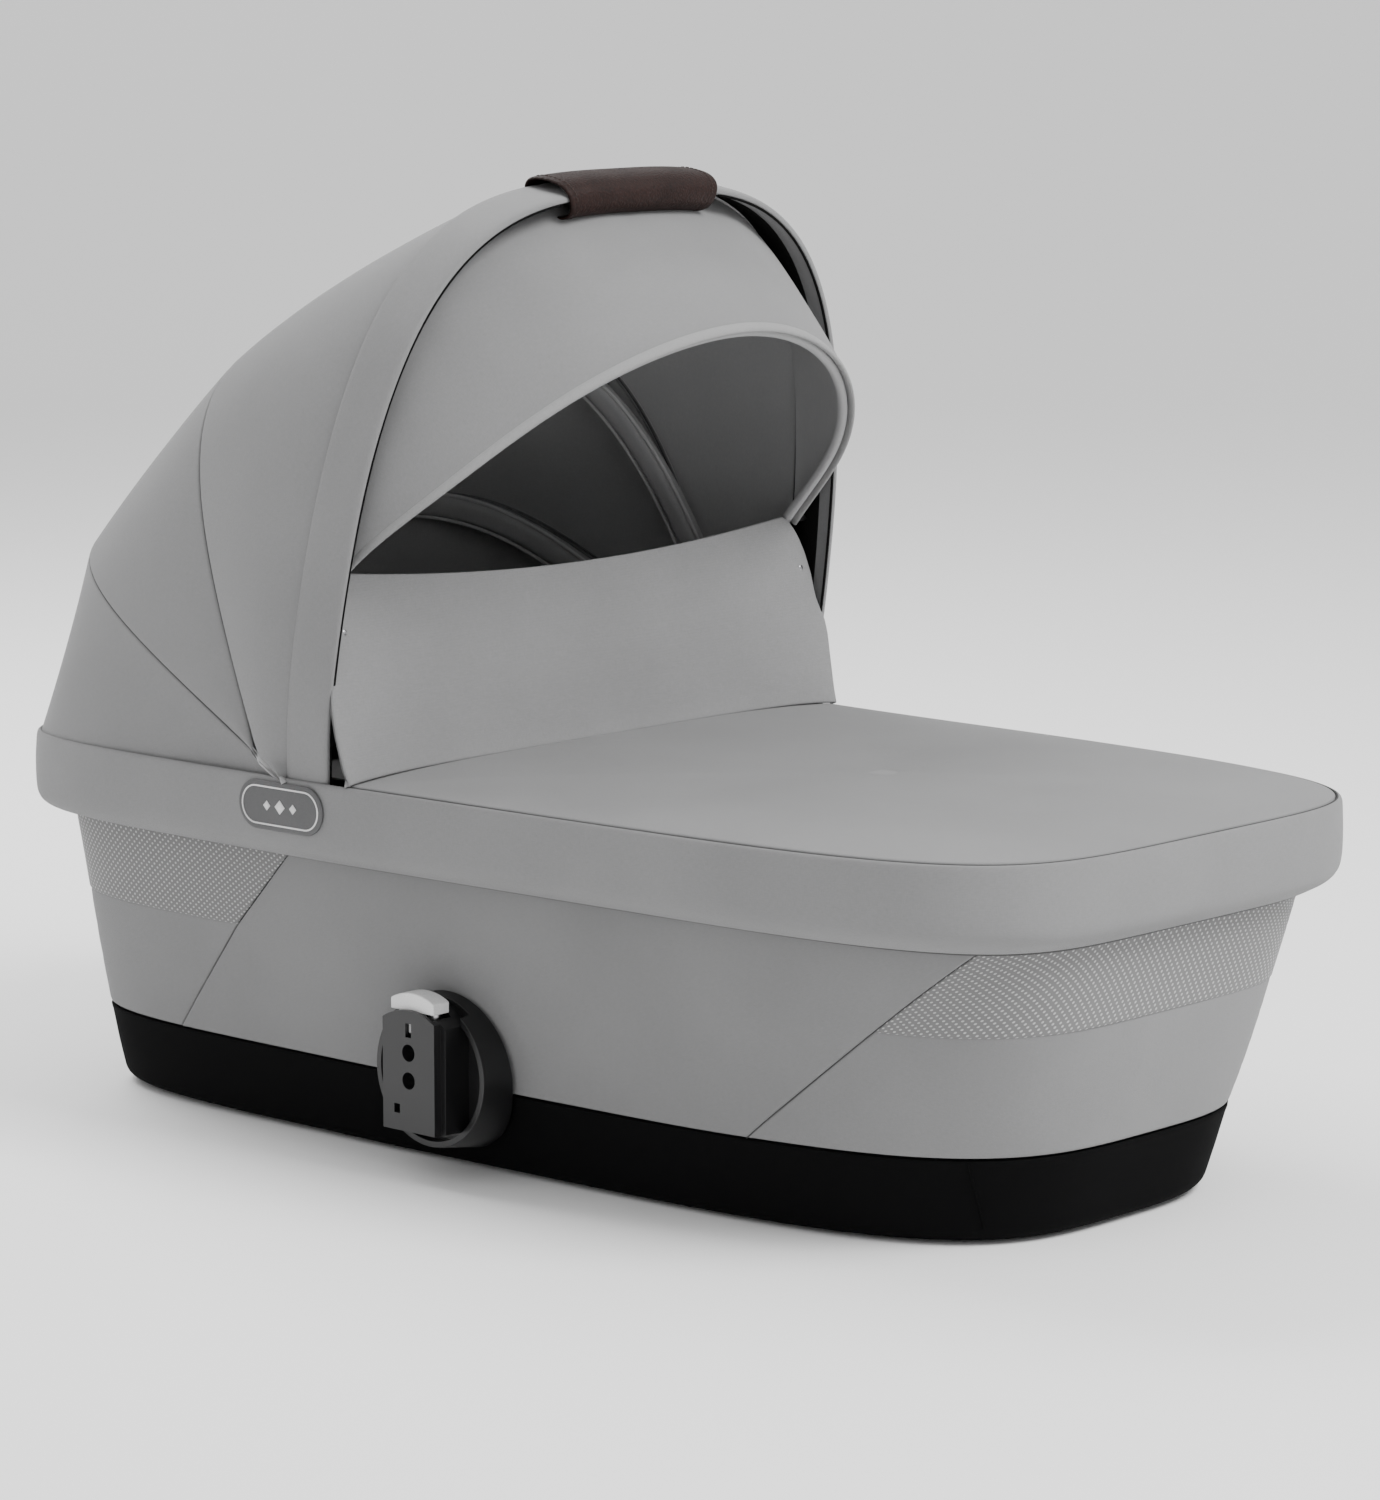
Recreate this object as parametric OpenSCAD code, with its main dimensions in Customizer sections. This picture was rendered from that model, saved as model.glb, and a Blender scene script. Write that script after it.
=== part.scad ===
// Baby carrycot: a fabric-covered tub on a moulded tray, a folding hood carried by three bows,
// a flip-up sun visor, an apron with a wind flap, and a chassis adapter on each side.
// Frame: +X towards the foot end, Y across, +Z up, origin at the middle of the underside. Millimetres.

/* [Tub] */
// Overall length of the carrycot at the rim
cot_length = 860; // [820:5:880]
// Overall width of the padded rim
rim_width = 475; // [470:1:478]
// Height of the moulded base tray
tray_height = 57; // [50:1:60]
// Height of the lower edge of the padded rim
rim_low = 192; // [190:1:194]
// Height of the rim's top seam
rim_high = 251; // [250:1:252]
// Thickness of the tub's structural wall
wall = 4; // [3:0.5:4.5]
// Narrowing of the half-width towards the foot, per millimetre
foot_taper = 0.000147; // [0:0.00001:0.00016]

/* [Hood] */
// Height of the hood's pivot axis
pivot_height = 234; // [233:1:235]
// Distance of the pivot axis behind the middle
pivot_back = 130; // [128:1:132]
// Lean angle of the front bow, from straight back
front_angle = 99; // [97:1:101]
// Reach of the front bow from its foot
front_reach = 392; // [386:1:394]
// Width of the covered front bow
front_width = 43; // [40:1:44]
// Thickness of the hood fabric with its lining
fabric = 2.5; // [1.5:0.5:3]
// Length of the leather sleeve on the front bow
sleeve_length = 140; // [120:2:180]

/* [Visor and flap] */
// Reach of the visor from its hinge
visor_reach = 206; // [200:1:208]
// Angle of the visor's front edge, from straight back
visor_angle = 131; // [129:1:133]
// Height of the standing wind flap
flap_height = 120; // [110:1:122]
// Backward lean of the wind flap
flap_lean = 12; // [10:1:14]

/* [Adapters] */
// Distance of the adapters behind the middle
adapter_back = 26; // [20:1:32]
// Radius of the adapter's round housing
housing_radius = 51; // [48:1:51]
// Width of the adapter's coupling plate
plate_width = 54; // [48:1:56]

/* [Hidden] */

$fn = 48;
fabric_grey = [0.62, 0.62, 0.62];
lining_grey = [0.25, 0.25, 0.26];
mesh_grey = [0.7, 0.7, 0.7];
black = [0.06, 0.06, 0.06];
steel = [0.75, 0.75, 0.77];
leather = [0.28, 0.17, 0.13];
white = [0.9, 0.9, 0.9];

gap = 0.4;                    // air between separate bodies and skins
half_length = cot_length / 2;
half_width = rim_width / 2;
pivot = [-pivot_back, 0, pivot_height];

// ---- Plan outline of the tub: a superellipse with a boxy head end and a rounder, narrower foot end ----
plan_steps = 72;

function spow(v, p) = sign(v) * pow(abs(v), p);
function taper(x) = 1 - foot_taper * max(x + 100, 0);
function head_len(z) = lookup(z, [[0, 408], [57, 410], [193, 426]]);
function foot_len(z) = lookup(z, [[0, 368], [57, 383], [193, 408]]);
function tub_half(z) = lookup(z, [[0, 176], [57, 189], [193, 202], [207, 203]]);
function foot_power(z) = lookup(z, [[57, 3.6], [193, 5.5]]);
function head_power(z) = lookup(z, [[0, 6.5], [57, 6.8], [193, 7.5]]);
function plan_point(t, ah, af, b, nf, nh) =
    let (c = cos(t), n = c < 0 ? nh : nf, x = spow(c, 2 / n) * (c < 0 ? ah : af))
    [x, spow(sin(t), 2 / n) * b * taper(x)];
// Point of the tub's outer surface at height z, moved inwards by inset
function tub_point(t, z, inset) =
    let (p = plan_point(t, head_len(z) - inset, foot_len(z) - inset, tub_half(z) - inset,
                        foot_power(z), head_power(z)))
    [p.x, p.y, z];
function tub_ring(z, inset) = [for (i = [0 : plan_steps - 1]) tub_point(360 * i / plan_steps, z, inset)];
// Point of the rim's outline at height z, moved inwards by inset
rim_foot_power = 5.0;
rim_head_power = 7.6;
function rim_point(t, z, inset) =
    let (p = plan_point(t, half_length - inset, half_length - inset, half_width - inset,
                        rim_foot_power, rim_head_power))
    [p.x, p.y, z];

// ---- Skins: rings of equal length, joined into one closed solid ----
function side_faces(n, m, start) =
    [for (i = [0 : n - 2], j = [0 : m - 1])
        let (k = (j + 1) % m, a = start + i * m + j, b = start + i * m + k, c = b + m, d = a + m)
        each [[a, d, c], [a, c, b]]];
function turned(faces) = [for (f = faces) [f[0], f[2], f[1]]];
function flat(rings) = [for (r = rings) each r];
function disc(start, m) = [for (j = [0 : m - 1]) start + j];
function disc_back(start, m) = [for (j = [m - 1 : -1 : 0]) start + j];
function washer(a, b, m) =
    [for (j = [0 : m - 1]) let (k = (j + 1) % m) each [[a + j, a + k, b + k], [a + j, b + k, b + j]]];

module skin(rings) {
    n = len(rings);
    m = len(rings[0]);
    polyhedron(flat(rings), concat(side_faces(n, m, 0), [disc(0, m), disc_back((n - 1) * m, m)]),
        convexity = 8);
}
// The same for sections that are strips: the first half of a section's points runs along one face
// and the second half runs back along the other, so each end is closed with a strip of triangles
function strip_cap(start, m) =
    [for (j = [0 : m / 2 - 2])
        let (a = start + j, b = a + 1, c = start + m - 2 - j, d = c + 1)
        each [[a, b, c], [a, c, d]]];
module strip_skin(rings) {
    n = len(rings);
    m = len(rings[0]);
    polyhedron(flat(rings),
        concat(side_faces(n, m, 0), strip_cap(0, m), turned(strip_cap((n - 1) * m, m))), convexity = 8);
}
// Open at both ends: an outer skin with an inner one, joined by a washer at each end
module pipe_skin(outer, inner) {
    n = len(outer);
    m = len(outer[0]);
    t = n * m;
    polyhedron(concat(flat(outer), flat(inner)),
        concat(side_faces(n, m, 0), turned(side_faces(n, m, t)),
               washer(0, t, m), turned(washer((n - 1) * m, t + (n - 1) * m, m))), convexity = 8);
}
// A tub: floor at the first rings, open at the last
module cup_skin(outer, inner) {
    n = len(outer);
    p = len(inner);
    m = len(outer[0]);
    t = n * m;
    polyhedron(concat(flat(outer), flat(inner)),
        concat(side_faces(n, m, 0), turned(side_faces(p, m, t)),
               [disc(0, m), disc_back(t, m)],
               turned(washer((n - 1) * m, t + (p - 1) * m, m))), convexity = 8);
}

// ---- Hood arches: superellipses standing in planes parallel to Y ----
arch_steps = 36;
// arch = [angle from straight back, reach, half-width, power, x of its foot, z of its foot]
rim_arch = [3.25, 318, half_width - 5, 5.6, -112, pivot_height];
rear_seam = [29, 312, half_width - 4.5, 4.6, -112, pivot_height];
mid_seam = [68.4, 306, half_width - 4.5, 3.2, -150, pivot_height];
front_arch = [front_angle, front_reach, half_width - 4.1, 3.3, -115, pivot_height];
rear_arch = [30.7, 290, 213.2, 4.6, -pivot_back, pivot_height];
mid_arch = [64.9, 307.5, 217.8, 3.2, -pivot_back, pivot_height];

function foot_angle(a, q) = asin(pow(q / a[1], a[3] / 2));
// Point on arch a, at share s of the way over it, beginning foot millimetres up its plane,
// moved out by r and forwards, square to the arch's plane, by d
function arch_point(a, s, foot, r, d) =
    let (t0 = foot_angle(a, foot), t = t0 + (180 - 2 * t0) * s,
         q = (a[1] + r) * pow(sin(t), 2 / a[3]),
         y = (a[2] + r) * spow(cos(t), 2 / a[3]))
    [a[4] - cos(a[0]) * q + sin(a[0]) * d, y, a[5] + sin(a[0]) * q + cos(a[0]) * d];
// A bar along an arch: rectangle from r0 to r1 across and d0 to d1 front to back
function bar_rings(a, foot, r0, r1, d0, d1, from = 0, to = 1) =
    [for (i = [0 : arch_steps])
        let (s = from + (to - from) * i / arch_steps)
        [arch_point(a, s, foot, r0, d0), arch_point(a, s, foot, r0, d1),
         arch_point(a, s, foot, r1, d1), arch_point(a, s, foot, r1, d0)]];
// A sheet stretched from arch a to arch b, sagging inwards between them
sheet_steps = 4;
function sheet_point(a, b, s, u, foot, r, sag) =
    let (pa = arch_point(a, s, foot, r - sag * 4 * u * (1 - u), 0),
         pb = arch_point(b, s, foot, r - sag * 4 * u * (1 - u), 0))
    pa + (pb - pa) * u;
function sheet_rings(a, b, foot, thick, sag) =
    [for (i = [0 : arch_steps])
        let (s = i / arch_steps)
        concat([for (k = [0 : sheet_steps]) sheet_point(a, b, s, k / sheet_steps, foot, -thick, sag)],
               [for (k = [sheet_steps : -1 : 0]) sheet_point(a, b, s, k / sheet_steps, foot, 0, sag)])];
// The same arch moved forwards, square to its own plane
function arch_shift(a, d) = [a[0], a[1], a[2], a[3], a[4] + sin(a[0]) * d, a[5] + cos(a[0]) * d];

module both_sides() {
    children();
    mirror([0, 1, 0]) children();
}
module along_y(y0, y1) {
    translate([0, y0, 0]) rotate([-90, 0, 0]) linear_extrude(y1 - y0) children();
}
// Disc with its axis along Y, from |y| = y0 to y1 on the side given by sgn
module disc_y(r, y0, y1, sgn, at) {
    lo = sgn > 0 ? y0 : -y1;
    translate([at.x, lo, at.z]) rotate([-90, 0, 0]) cylinder(r = r, h = y1 - y0);
}

// ---- Tub ----
tray_floor = 3;
tray_wall = 3;
tray_low = 2;                 // the tray's underside; the feet reach down to 0
shell_low = tray_low + tray_floor + gap;
shell_top = 205;
shell_inset = tray_wall + gap;

module tray_body() {
    cup_skin(
        [tub_ring(tray_low, 8), tub_ring(tray_low + 3, 3), tub_ring(tray_low + 9, 0),
         tub_ring(30, 0), tub_ring(tray_height, 0)],
        [tub_ring(tray_low + tray_floor, 10), tub_ring(tray_low + 9, tray_wall),
         tub_ring(30, tray_wall), tub_ring(tray_height, tray_wall)]);
}
screw_spots = [[-300, -110], [-300, 110], [0, -120], [0, 120], [270, -90], [270, 90]];
base_screw_r = 2;
module base_tray() {
    color(black) difference() {
        tray_body();
        for (p = screw_spots)
            translate([p.x, p.y, 0]) cylinder(r = base_screw_r + 0.2, h = 20);
    }
}
module base_feet() {
    color(black) for (x = [-290, 250])
        for (y = [-95, 95])
            translate([x, y, 0]) cylinder(r = 13, h = tray_low);
}
module base_screws() {
    color(steel) for (p = screw_spots) translate([p.x, p.y, 0]) {
        translate([0, 0, tray_low - 1.6]) cylinder(r = 4, h = 1.6);
        translate([0, 0, tray_low - 1]) cylinder(r = base_screw_r, h = 6.5);
    }
}
shell_inner = shell_inset + wall;
shell_floor_top = shell_low + 4;
module tub_shell() {
    color(black) difference() {
        cup_skin(
            [tub_ring(shell_low, 14), tub_ring(tray_low + 9.5, shell_inset), tub_ring(30, shell_inset),
             tub_ring(tray_height, shell_inset), tub_ring(120, shell_inset),
             tub_ring(shell_top, shell_inset)],
            [tub_ring(shell_floor_top, 18), tub_ring(tray_low + 13.5, shell_inner),
             tub_ring(30, shell_inner), tub_ring(tray_height, shell_inner), tub_ring(120, shell_inner),
             tub_ring(shell_top, shell_inner)]);
        for (p = screw_spots)
            translate([p.x, p.y, 0]) cylinder(r = base_screw_r + 0.05, h = 20);
    }
}
board_top = shell_floor_top + gap + 3;
module base_board() {
    color("tan") skin([tub_ring(shell_floor_top + gap, 24), tub_ring(board_top, 22)]);
}
mattress_top = 46;
module mattress() {
    low = board_top + gap;
    color(white) skin([tub_ring(low, 26), tub_ring(low + 6, 18), tub_ring(mattress_top - 6, 18),
                       tub_ring(mattress_top, 26)]);
}
liner_out = shell_inner + gap;
liner_in = liner_out + 2;
module inner_liner() {
    color(lining_grey) pipe_skin(
        [tub_ring(18, liner_out), tub_ring(tray_height, liner_out), tub_ring(120, liner_out),
         tub_ring(shell_top, liner_out)],
        [tub_ring(18, liner_in), tub_ring(tray_height, liner_in), tub_ring(120, liner_in),
         tub_ring(shell_top, liner_in)]);
}
cover_top = 206;
module side_cover() {
    cover = shell_inset - gap;
    color(fabric_grey) pipe_skin(
        [tub_ring(tray_height + gap, 0), tub_ring(90, 0), tub_ring(140, 0), tub_ring(193, 0),
         tub_ring(cover_top, 0)],
        [tub_ring(tray_height + gap, cover), tub_ring(90, cover), tub_ring(140, cover),
         tub_ring(193, cover), tub_ring(cover_top, cover)]);
}
// Mesh patch laid round one end of the tub. Its upper and lower edges stop at the angles top_stop and
// low_stop from the end's middle, and a slanted edge joins them.
vent_low = 137;
vent_high = 191;
vent_proud = 1;
vent_steps = 24;
slant_steps = 3;
function vent_angles(wide, narrow) =
    concat([for (i = [0 : slant_steps - 1]) -wide + (wide - narrow) * i / slant_steps],
           [for (i = [0 : vent_steps]) -narrow + 2 * narrow * i / vent_steps],
           [for (i = [1 : slant_steps]) narrow + (wide - narrow) * i / slant_steps]);
module vent(centre, top_stop, low_stop) {
    wide = max(top_stop, low_stop);
    narrow = min(top_stop, low_stop);
    rise = vent_high - vent_low;
    color(mesh_grey) strip_skin([for (a = vent_angles(wide, narrow))
        let (full = min((wide - abs(a)) / (wide - narrow), 1), t = centre + a,
             z0 = top_stop > low_stop ? vent_high - rise * full : vent_low,
             z1 = (top_stop > low_stop ? vent_high : vent_low + rise * full) + 1, zm = (z0 + z1) / 2)
        [tub_point(t, z0, -gap), tub_point(t, zm, -gap), tub_point(t, z1, -gap),
         tub_point(t, z1, -gap - vent_proud), tub_point(t, zm, -gap - vent_proud),
         tub_point(t, z0, -gap - vent_proud)]]);
}
module head_vent() {
    vent(180, 88.3, 84.3);
}
module foot_vent() {
    vent(0, 38.2, 56.8);
}

// ---- Rim: a stiff frame inside a padded band ----
frame_out = 33.5;             // frame's outer face, inside the rim's outline
frame_thick = 5;
frame_low = 207;
frame_high = 246;
module rim_frame() {
    low = frame_low;
    high = frame_high;
    function ring_at(z, inset) = [for (i = [0 : plan_steps - 1]) rim_point(360 * i / plan_steps, z, inset)];
    color(black) pipe_skin(
        [ring_at(low, frame_out), ring_at(high, frame_out)],
        [ring_at(low, frame_out + frame_thick), ring_at(high, frame_out + frame_thick)]);
}
// Cross-section of the band: its inner side upwards, then its outer side downwards
skirt_thick = 3;
skirt_split = -84;            // the hood's band ends and the apron's band begins here
function band_point(t, z, inset, share) =
    let (r = rim_point(t, z, inset), b = tub_point(t, min(z, 206), inset - gap - 0.4))
    [b.x + (r.x - b.x) * share, b.y + (r.y - b.y) * share, z];
function band_section(t) = [
    band_point(t, rim_low + 2, -0.8, 0.05), band_point(t, rim_low + 8, 1.5, 0.62),
    band_point(t, rim_low + 20, skirt_thick, 0.97), band_point(t, rim_low + 40, skirt_thick, 1),
    band_point(t, rim_high, skirt_thick + 0.5, 1),
    band_point(t, rim_high, 0.8, 1), band_point(t, rim_low + 40, 0, 1), band_point(t, rim_low + 20, -0.2, 1),
    band_point(t, rim_low + 7, -1, 0.7), band_point(t, rim_low, -2.5, 0.07)];
function split_angle(x) = acos(-pow(abs(x) / half_length, rim_head_power / 2));
module hood_skirt() {
    t0 = split_angle(skirt_split - gap);
    step = (360 - 2 * t0) * 2 / plan_steps;
    color(fabric_grey) strip_skin([for (i = [0 : plan_steps / 2]) band_section(t0 + step * i)]);
}
module apron_skirt() {
    t0 = split_angle(skirt_split);
    step = 4 * t0 / plan_steps;
    color(fabric_grey) strip_skin([for (i = [0 : plan_steps / 2]) band_section(step * i - t0)]);
}

// ---- Apron: a crowned cover over the foot half ----
apron_back = -78;
apron_crown = 10;
apron_thick = 3;
apron_inset = skirt_thick + 1;
apron_rows = 22;
apron_cols = 12;
function apron_section(x, w) =
    let (share = min(abs(x) / (half_length - apron_inset), 1),
         rise = apron_crown * (1 - pow(share, 4)) * (x < 0 ? 1 - 0.75 * x / apron_back : 1))
    concat([for (j = [0 : apron_cols]) let (v = 1 - 2 * j / apron_cols)
                [x, w * v, rim_high - apron_thick + rise * (1 - pow(abs(v), 2.5))]],
           [for (j = [apron_cols : -1 : 0]) let (v = 1 - 2 * j / apron_cols)
                [x, w * v, rim_high + rise * (1 - pow(abs(v), 2.5))]]);
// Angles of the stations, measured on the rim's outline, from the foot to the apron's back edge
function apron_angles() = concat([3, 8], [for (i = [3 : apron_rows]) 90 * i / apron_rows],
                                 [split_angle(apron_back / 2), split_angle(apron_back)]);
module apron_top() {
    color(fabric_grey) strip_skin([for (t = apron_angles())
        let (p = rim_point(t, 0, apron_inset)) apron_section(p.x, p.y)]);
}

// ---- Hood hubs and pins ----
rear_eye = [209.2, 213.2];
mid_eye = [213.8, 217.8];
front_eye = [222, 230];
hub_y = [204.4, 208.6];
eye_r = 12;
front_eye_r = 13;
pin_r = 4;
bore_r = pin_r + 0.06;
module hood_hub(sgn) {
    color(black) difference() {
        union() {
            disc_y(15, hub_y[0], hub_y[1], sgn, pivot);
            translate([pivot.x - 22, sgn > 0 ? hub_y[0] : -hub_y[1], frame_low + 2])
                cube([44, hub_y[1] - hub_y[0], 14]);
        }
        disc_y(pin_r + 0.02, hub_y[0] - 1, hub_y[1] + 1, sgn, pivot);
    }
}
module hood_hub_left() { hood_hub(1); }
module hood_hub_right() { hood_hub(-1); }
module pivot_pin(sgn) {
    color(steel) {
        disc_y(pin_r, hub_y[0] + 0.2, front_eye[1] + 1, sgn, pivot);
        disc_y(9, front_eye[1] + 0.3, front_eye[1] + 2, sgn, pivot);
    }
}
module pivot_pin_left() { pivot_pin(1); }
module pivot_pin_right() { pivot_pin(-1); }

// ---- Bows ----
strip_half = 7;
strip_thick = 4;
strip_foot = 9;
module strip_bow(a, eye) {
    difference() {
        union() {
            strip_skin(bar_rings(a, strip_foot, -strip_thick, 0, -strip_half, strip_half));
            for (sgn = [-1, 1]) disc_y(eye_r, eye[0], eye[1], sgn, pivot);
        }
        for (sgn = [-1, 1]) disc_y(bore_r, eye[0] - 5, eye[1] + 5, sgn, pivot);
    }
}
module rear_bow() { color(black) strip_bow(rear_arch, rear_eye); }
module mid_bow() { color(black) strip_bow(mid_arch, mid_eye); }

cover_foot = 19;
cover_thick = 1.8;
cover_depth = 14.8;
tube_half = front_width / 2 - cover_thick - 0.2;
tube_out = -cover_thick - 0.2;
tube_in = -cover_depth + cover_thick + 0.2;
module front_bow() {
    color(black) difference() {
        union() {
            strip_skin(bar_rings(front_arch, cover_foot, tube_in, tube_out, -tube_half, tube_half));
            for (sgn = [-1, 1]) {
                lo = sgn > 0 ? front_eye[0] : -front_eye[1];
                disc_y(front_eye_r, front_eye[0], front_eye[1], sgn, pivot);
                along_y(lo, lo + front_eye[1] - front_eye[0])
                    polygon([[pivot.x - front_eye_r, -pivot.z], [pivot.x + 4, -pivot.z + front_eye_r],
                             [-98, -pivot.z - 24], [-126, -pivot.z - 24]]);
            }
        }
        for (sgn = [-1, 1]) disc_y(bore_r, front_eye[0] - 8, front_eye[1] + 8, sgn, pivot);
    }
}
module front_bow_cover() {
    h = front_width / 2;
    color(fabric_grey) pipe_skin(
        bar_rings(front_arch, cover_foot, -cover_depth, 0, -h, h),
        bar_rings(front_arch, cover_foot, -cover_depth + cover_thick, -cover_thick,
                  -h + cover_thick, h - cover_thick));
}
sleeve_thick = 2.6;
module handle_sleeve() {
    h = front_width / 2 + 0.2;
    under = cover_depth + 1;
    from = acos(pow(sleeve_length / 2 / front_arch[2], front_arch[3] / 2)) / 180;
    color(leather) pipe_skin(
        bar_rings(front_arch, 0, -under - sleeve_thick, sleeve_thick + 0.2,
                  -h - sleeve_thick, h + sleeve_thick, from, 1 - from),
        bar_rings(front_arch, 0, -under, 0.2, -h, h, from, 1 - from));
}

// ---- Hood fabric ----
sheet_foot = 34;
seam_gap = 1;
module canopy_rear_panel() {
    color(fabric_grey)
        strip_skin(sheet_rings(rim_arch, arch_shift(rear_seam, -seam_gap), sheet_foot, fabric, 3));
}
module canopy_mid_panel() {
    color(fabric_grey)
        strip_skin(sheet_rings(rear_seam, arch_shift(mid_seam, -seam_gap), sheet_foot, fabric, 3));
}
module canopy_front_panel() {
    front_edge = arch_shift(front_arch, -front_width / 2 - sleeve_thick - seam_gap);
    color(fabric_grey) strip_skin(sheet_rings(mid_seam, front_edge, sheet_foot, fabric, 3));
}

// ---- Visor ----
visor_hinge = [-85, 0, 372];
visor_half = 207;
visor_front = [visor_angle, visor_reach, visor_half, 2, visor_hinge.x, visor_hinge.z];
visor_back = [92, visor_reach + 14, visor_half, 2.2, visor_hinge.x, visor_hinge.z];
visor_foot = 14;
wire_r = 2.5;
visor_pin_r = 2;
module visor_panel() {
    color(fabric_grey) strip_skin(sheet_rings(visor_back, visor_front, visor_foot, 2, 0));
}
module visor_wire() {
    inset = -4.4 - 2 * wire_r;
    eye = [207.6, 211.6];
    color(steel) difference() {
        union() {
            strip_skin(bar_rings(visor_front, 4, inset, inset + 2 * wire_r, -2 * wire_r, 0));
            for (sgn = [-1, 1]) {
                disc_y(6, eye[0], eye[1], sgn, visor_hinge);
                disc_y(4.5, 200, eye[0] + 0.1, sgn, visor_hinge);
            }
        }
        for (sgn = [-1, 1]) disc_y(visor_pin_r + 0.06, 190, 215, sgn, visor_hinge);
    }
}
module visor_pins() {
    color(steel) for (sgn = [-1, 1]) disc_y(visor_pin_r, 203, 217.5, sgn, visor_hinge);
}

// ---- Wind flap ----
flap_hinge = [-72, 0, rim_high + 5];
flap_thick = 4;
flap_low_half = 222;
flap_mid_half = 215;
flap_top_half = 207;
flap_corner = 20;
module flap_outline() {
    difference() {
        polygon([[-flap_low_half, 4], [flap_low_half, 4], [flap_low_half - 1, 28], [flap_mid_half, 46],
                 [flap_top_half, flap_height], [-flap_top_half, flap_height], [-flap_mid_half, 46],
                 [1 - flap_low_half, 28]]);
        for (sgn = [-1, 1])
            translate([sgn * (flap_top_half - flap_corner + 1), flap_height - flap_corner])
                difference() {
                    translate([sgn > 0 ? 0 : -40, 0]) square(40);
                    circle(flap_corner);
                }
    }
}
module flap_place() {
    translate(flap_hinge) rotate([0, -flap_lean, 0]) rotate([90, 0, 90]) children();
}
module wind_flap() {
    color(fabric_grey) flap_place() translate([0, 0, -flap_thick / 2])
        linear_extrude(flap_thick) flap_outline();
}
module flap_studs() {
    color(steel) flap_place() for (sgn = [-1, 1])
        translate([sgn * 204.5, 92, flap_thick / 2]) cylinder(r = 4, h = 2);
}

// ---- Badges ----
badge_size = [77, 32];
badge_x = -133;
badge_z = 231;
module badge(sgn) {
    r = badge_size.y / 2;
    face = half_width + 0.3;
    color(lining_grey) along_y(sgn > 0 ? face : -face - 2, sgn > 0 ? face + 2 : -face)
        translate([badge_x, -badge_z]) union() {
            square([badge_size.x - 2 * r, 2 * r], center = true);
            for (s = [-1, 1]) translate([s * (badge_size.x / 2 - r), 0]) circle(r);
        }
}
module badge_left() { badge(1); }
module badge_right() { badge(-1); }

// ---- Chassis adapters ----
adapter_z = 69;
housing_out = 213;
recess_depth = 8;
recess_floor = housing_out - recess_depth;
plate_out = 232;
plate_top = 114;
plate_low = 34;
lip = 3.5;
screw_rows = [85, 67];
screw_hole_r = 5.5;
adapter_screw_r = 2;
button_half = 19;
spring_spread = 13;
button_bottom = 111;
button_top = 123;
notch_floor = 105;
button_y = [214, plate_out - lip];
tongue_half = 3.5;
module place_adapter(sgn) {
    translate([-adapter_back, 0, 0]) scale([1, sgn, 1]) children();
}
// Everything inside the tub's slanted side, as a block along X
module tub_side_block() {
    clear = 0.5;
    rotate([90, 0, 90]) linear_extrude(160, center = true)
        polygon([[100, 0], [tub_half(0) + clear, 0], [tub_half(57) + clear, 57],
                 [tub_half(193) + clear + vent_proud, 193], [100, 193]]);
}
module adapter_housing() {
    difference() {
        translate([0, 170, adapter_z]) rotate([-90, 0, 0])
            cylinder(r1 = housing_radius + 4, r2 = housing_radius - 3, h = housing_out - 170);
        tub_side_block();
        translate([0, recess_floor, adapter_z]) rotate([-90, 0, 0])
            cylinder(r = housing_radius - 7, h = 20);
        translate([-plate_width / 2 - 0.5, recess_floor, plate_low + 6]) cube([plate_width + 1, 20, 100]);
        for (z = screw_rows)
            translate([0, 194, z]) rotate([-90, 0, 0]) cylinder(r = adapter_screw_r + 0.03, h = 20);
    }
}
module adapter_housing_left() { color(black) place_adapter(1) adapter_housing(); }
module adapter_housing_right() { color(black) place_adapter(-1) adapter_housing(); }

module plate_outline(half) {
    intersection() {
        translate([-half, plate_low]) square([2 * half, plate_top - plate_low]);
        union() {
            translate([0, adapter_z]) circle(housing_radius - 7.6);
            translate([-half, adapter_z]) square([2 * half, 30]);
            translate([0, adapter_z + 18]) circle(half + 2);
        }
    }
}
module adapter_plate() {
    half = plate_width / 2;
    difference() {
        union() {
            translate([0, plate_out - 6, 0]) rotate([90, 0, 0])
                linear_extrude(plate_out - 6 - recess_floor) plate_outline(half);
            translate([0, plate_out, 0]) rotate([90, 0, 0]) linear_extrude(6.5) plate_outline(half - 4);
        }
        translate([-button_half - 0.6, button_y[0] - 0.6, notch_floor])
            cube([2 * button_half + 1.2, button_y[1] - button_y[0] + 0.9, 30]);
        translate([-tongue_half - 0.5, button_y[1] - 5, 91]) cube([2 * tongue_half + 1, 5.3, 20]);
        translate([-2.5, plate_out - 10, 95]) cube([5, 20, 9]);
        for (s = [-1, 1])
            translate([s * spring_spread, (button_y[0] + button_y[1]) / 2, 97]) cylinder(r = 4.3, h = 20);
        for (z = screw_rows) translate([0, recess_floor - 1, z]) rotate([-90, 0, 0]) {
            cylinder(r = adapter_screw_r + 0.2, h = 40);
            translate([0, 0, 11]) cylinder(r = screw_hole_r, h = 30);
        }
        translate([-13, plate_out - 8, 45]) cube([5, 20, 6]);
    }
}
module adapter_plate_left() { color(black) place_adapter(1) adapter_plate(); }
module adapter_plate_right() { color(black) place_adapter(-1) adapter_plate(); }

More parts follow.
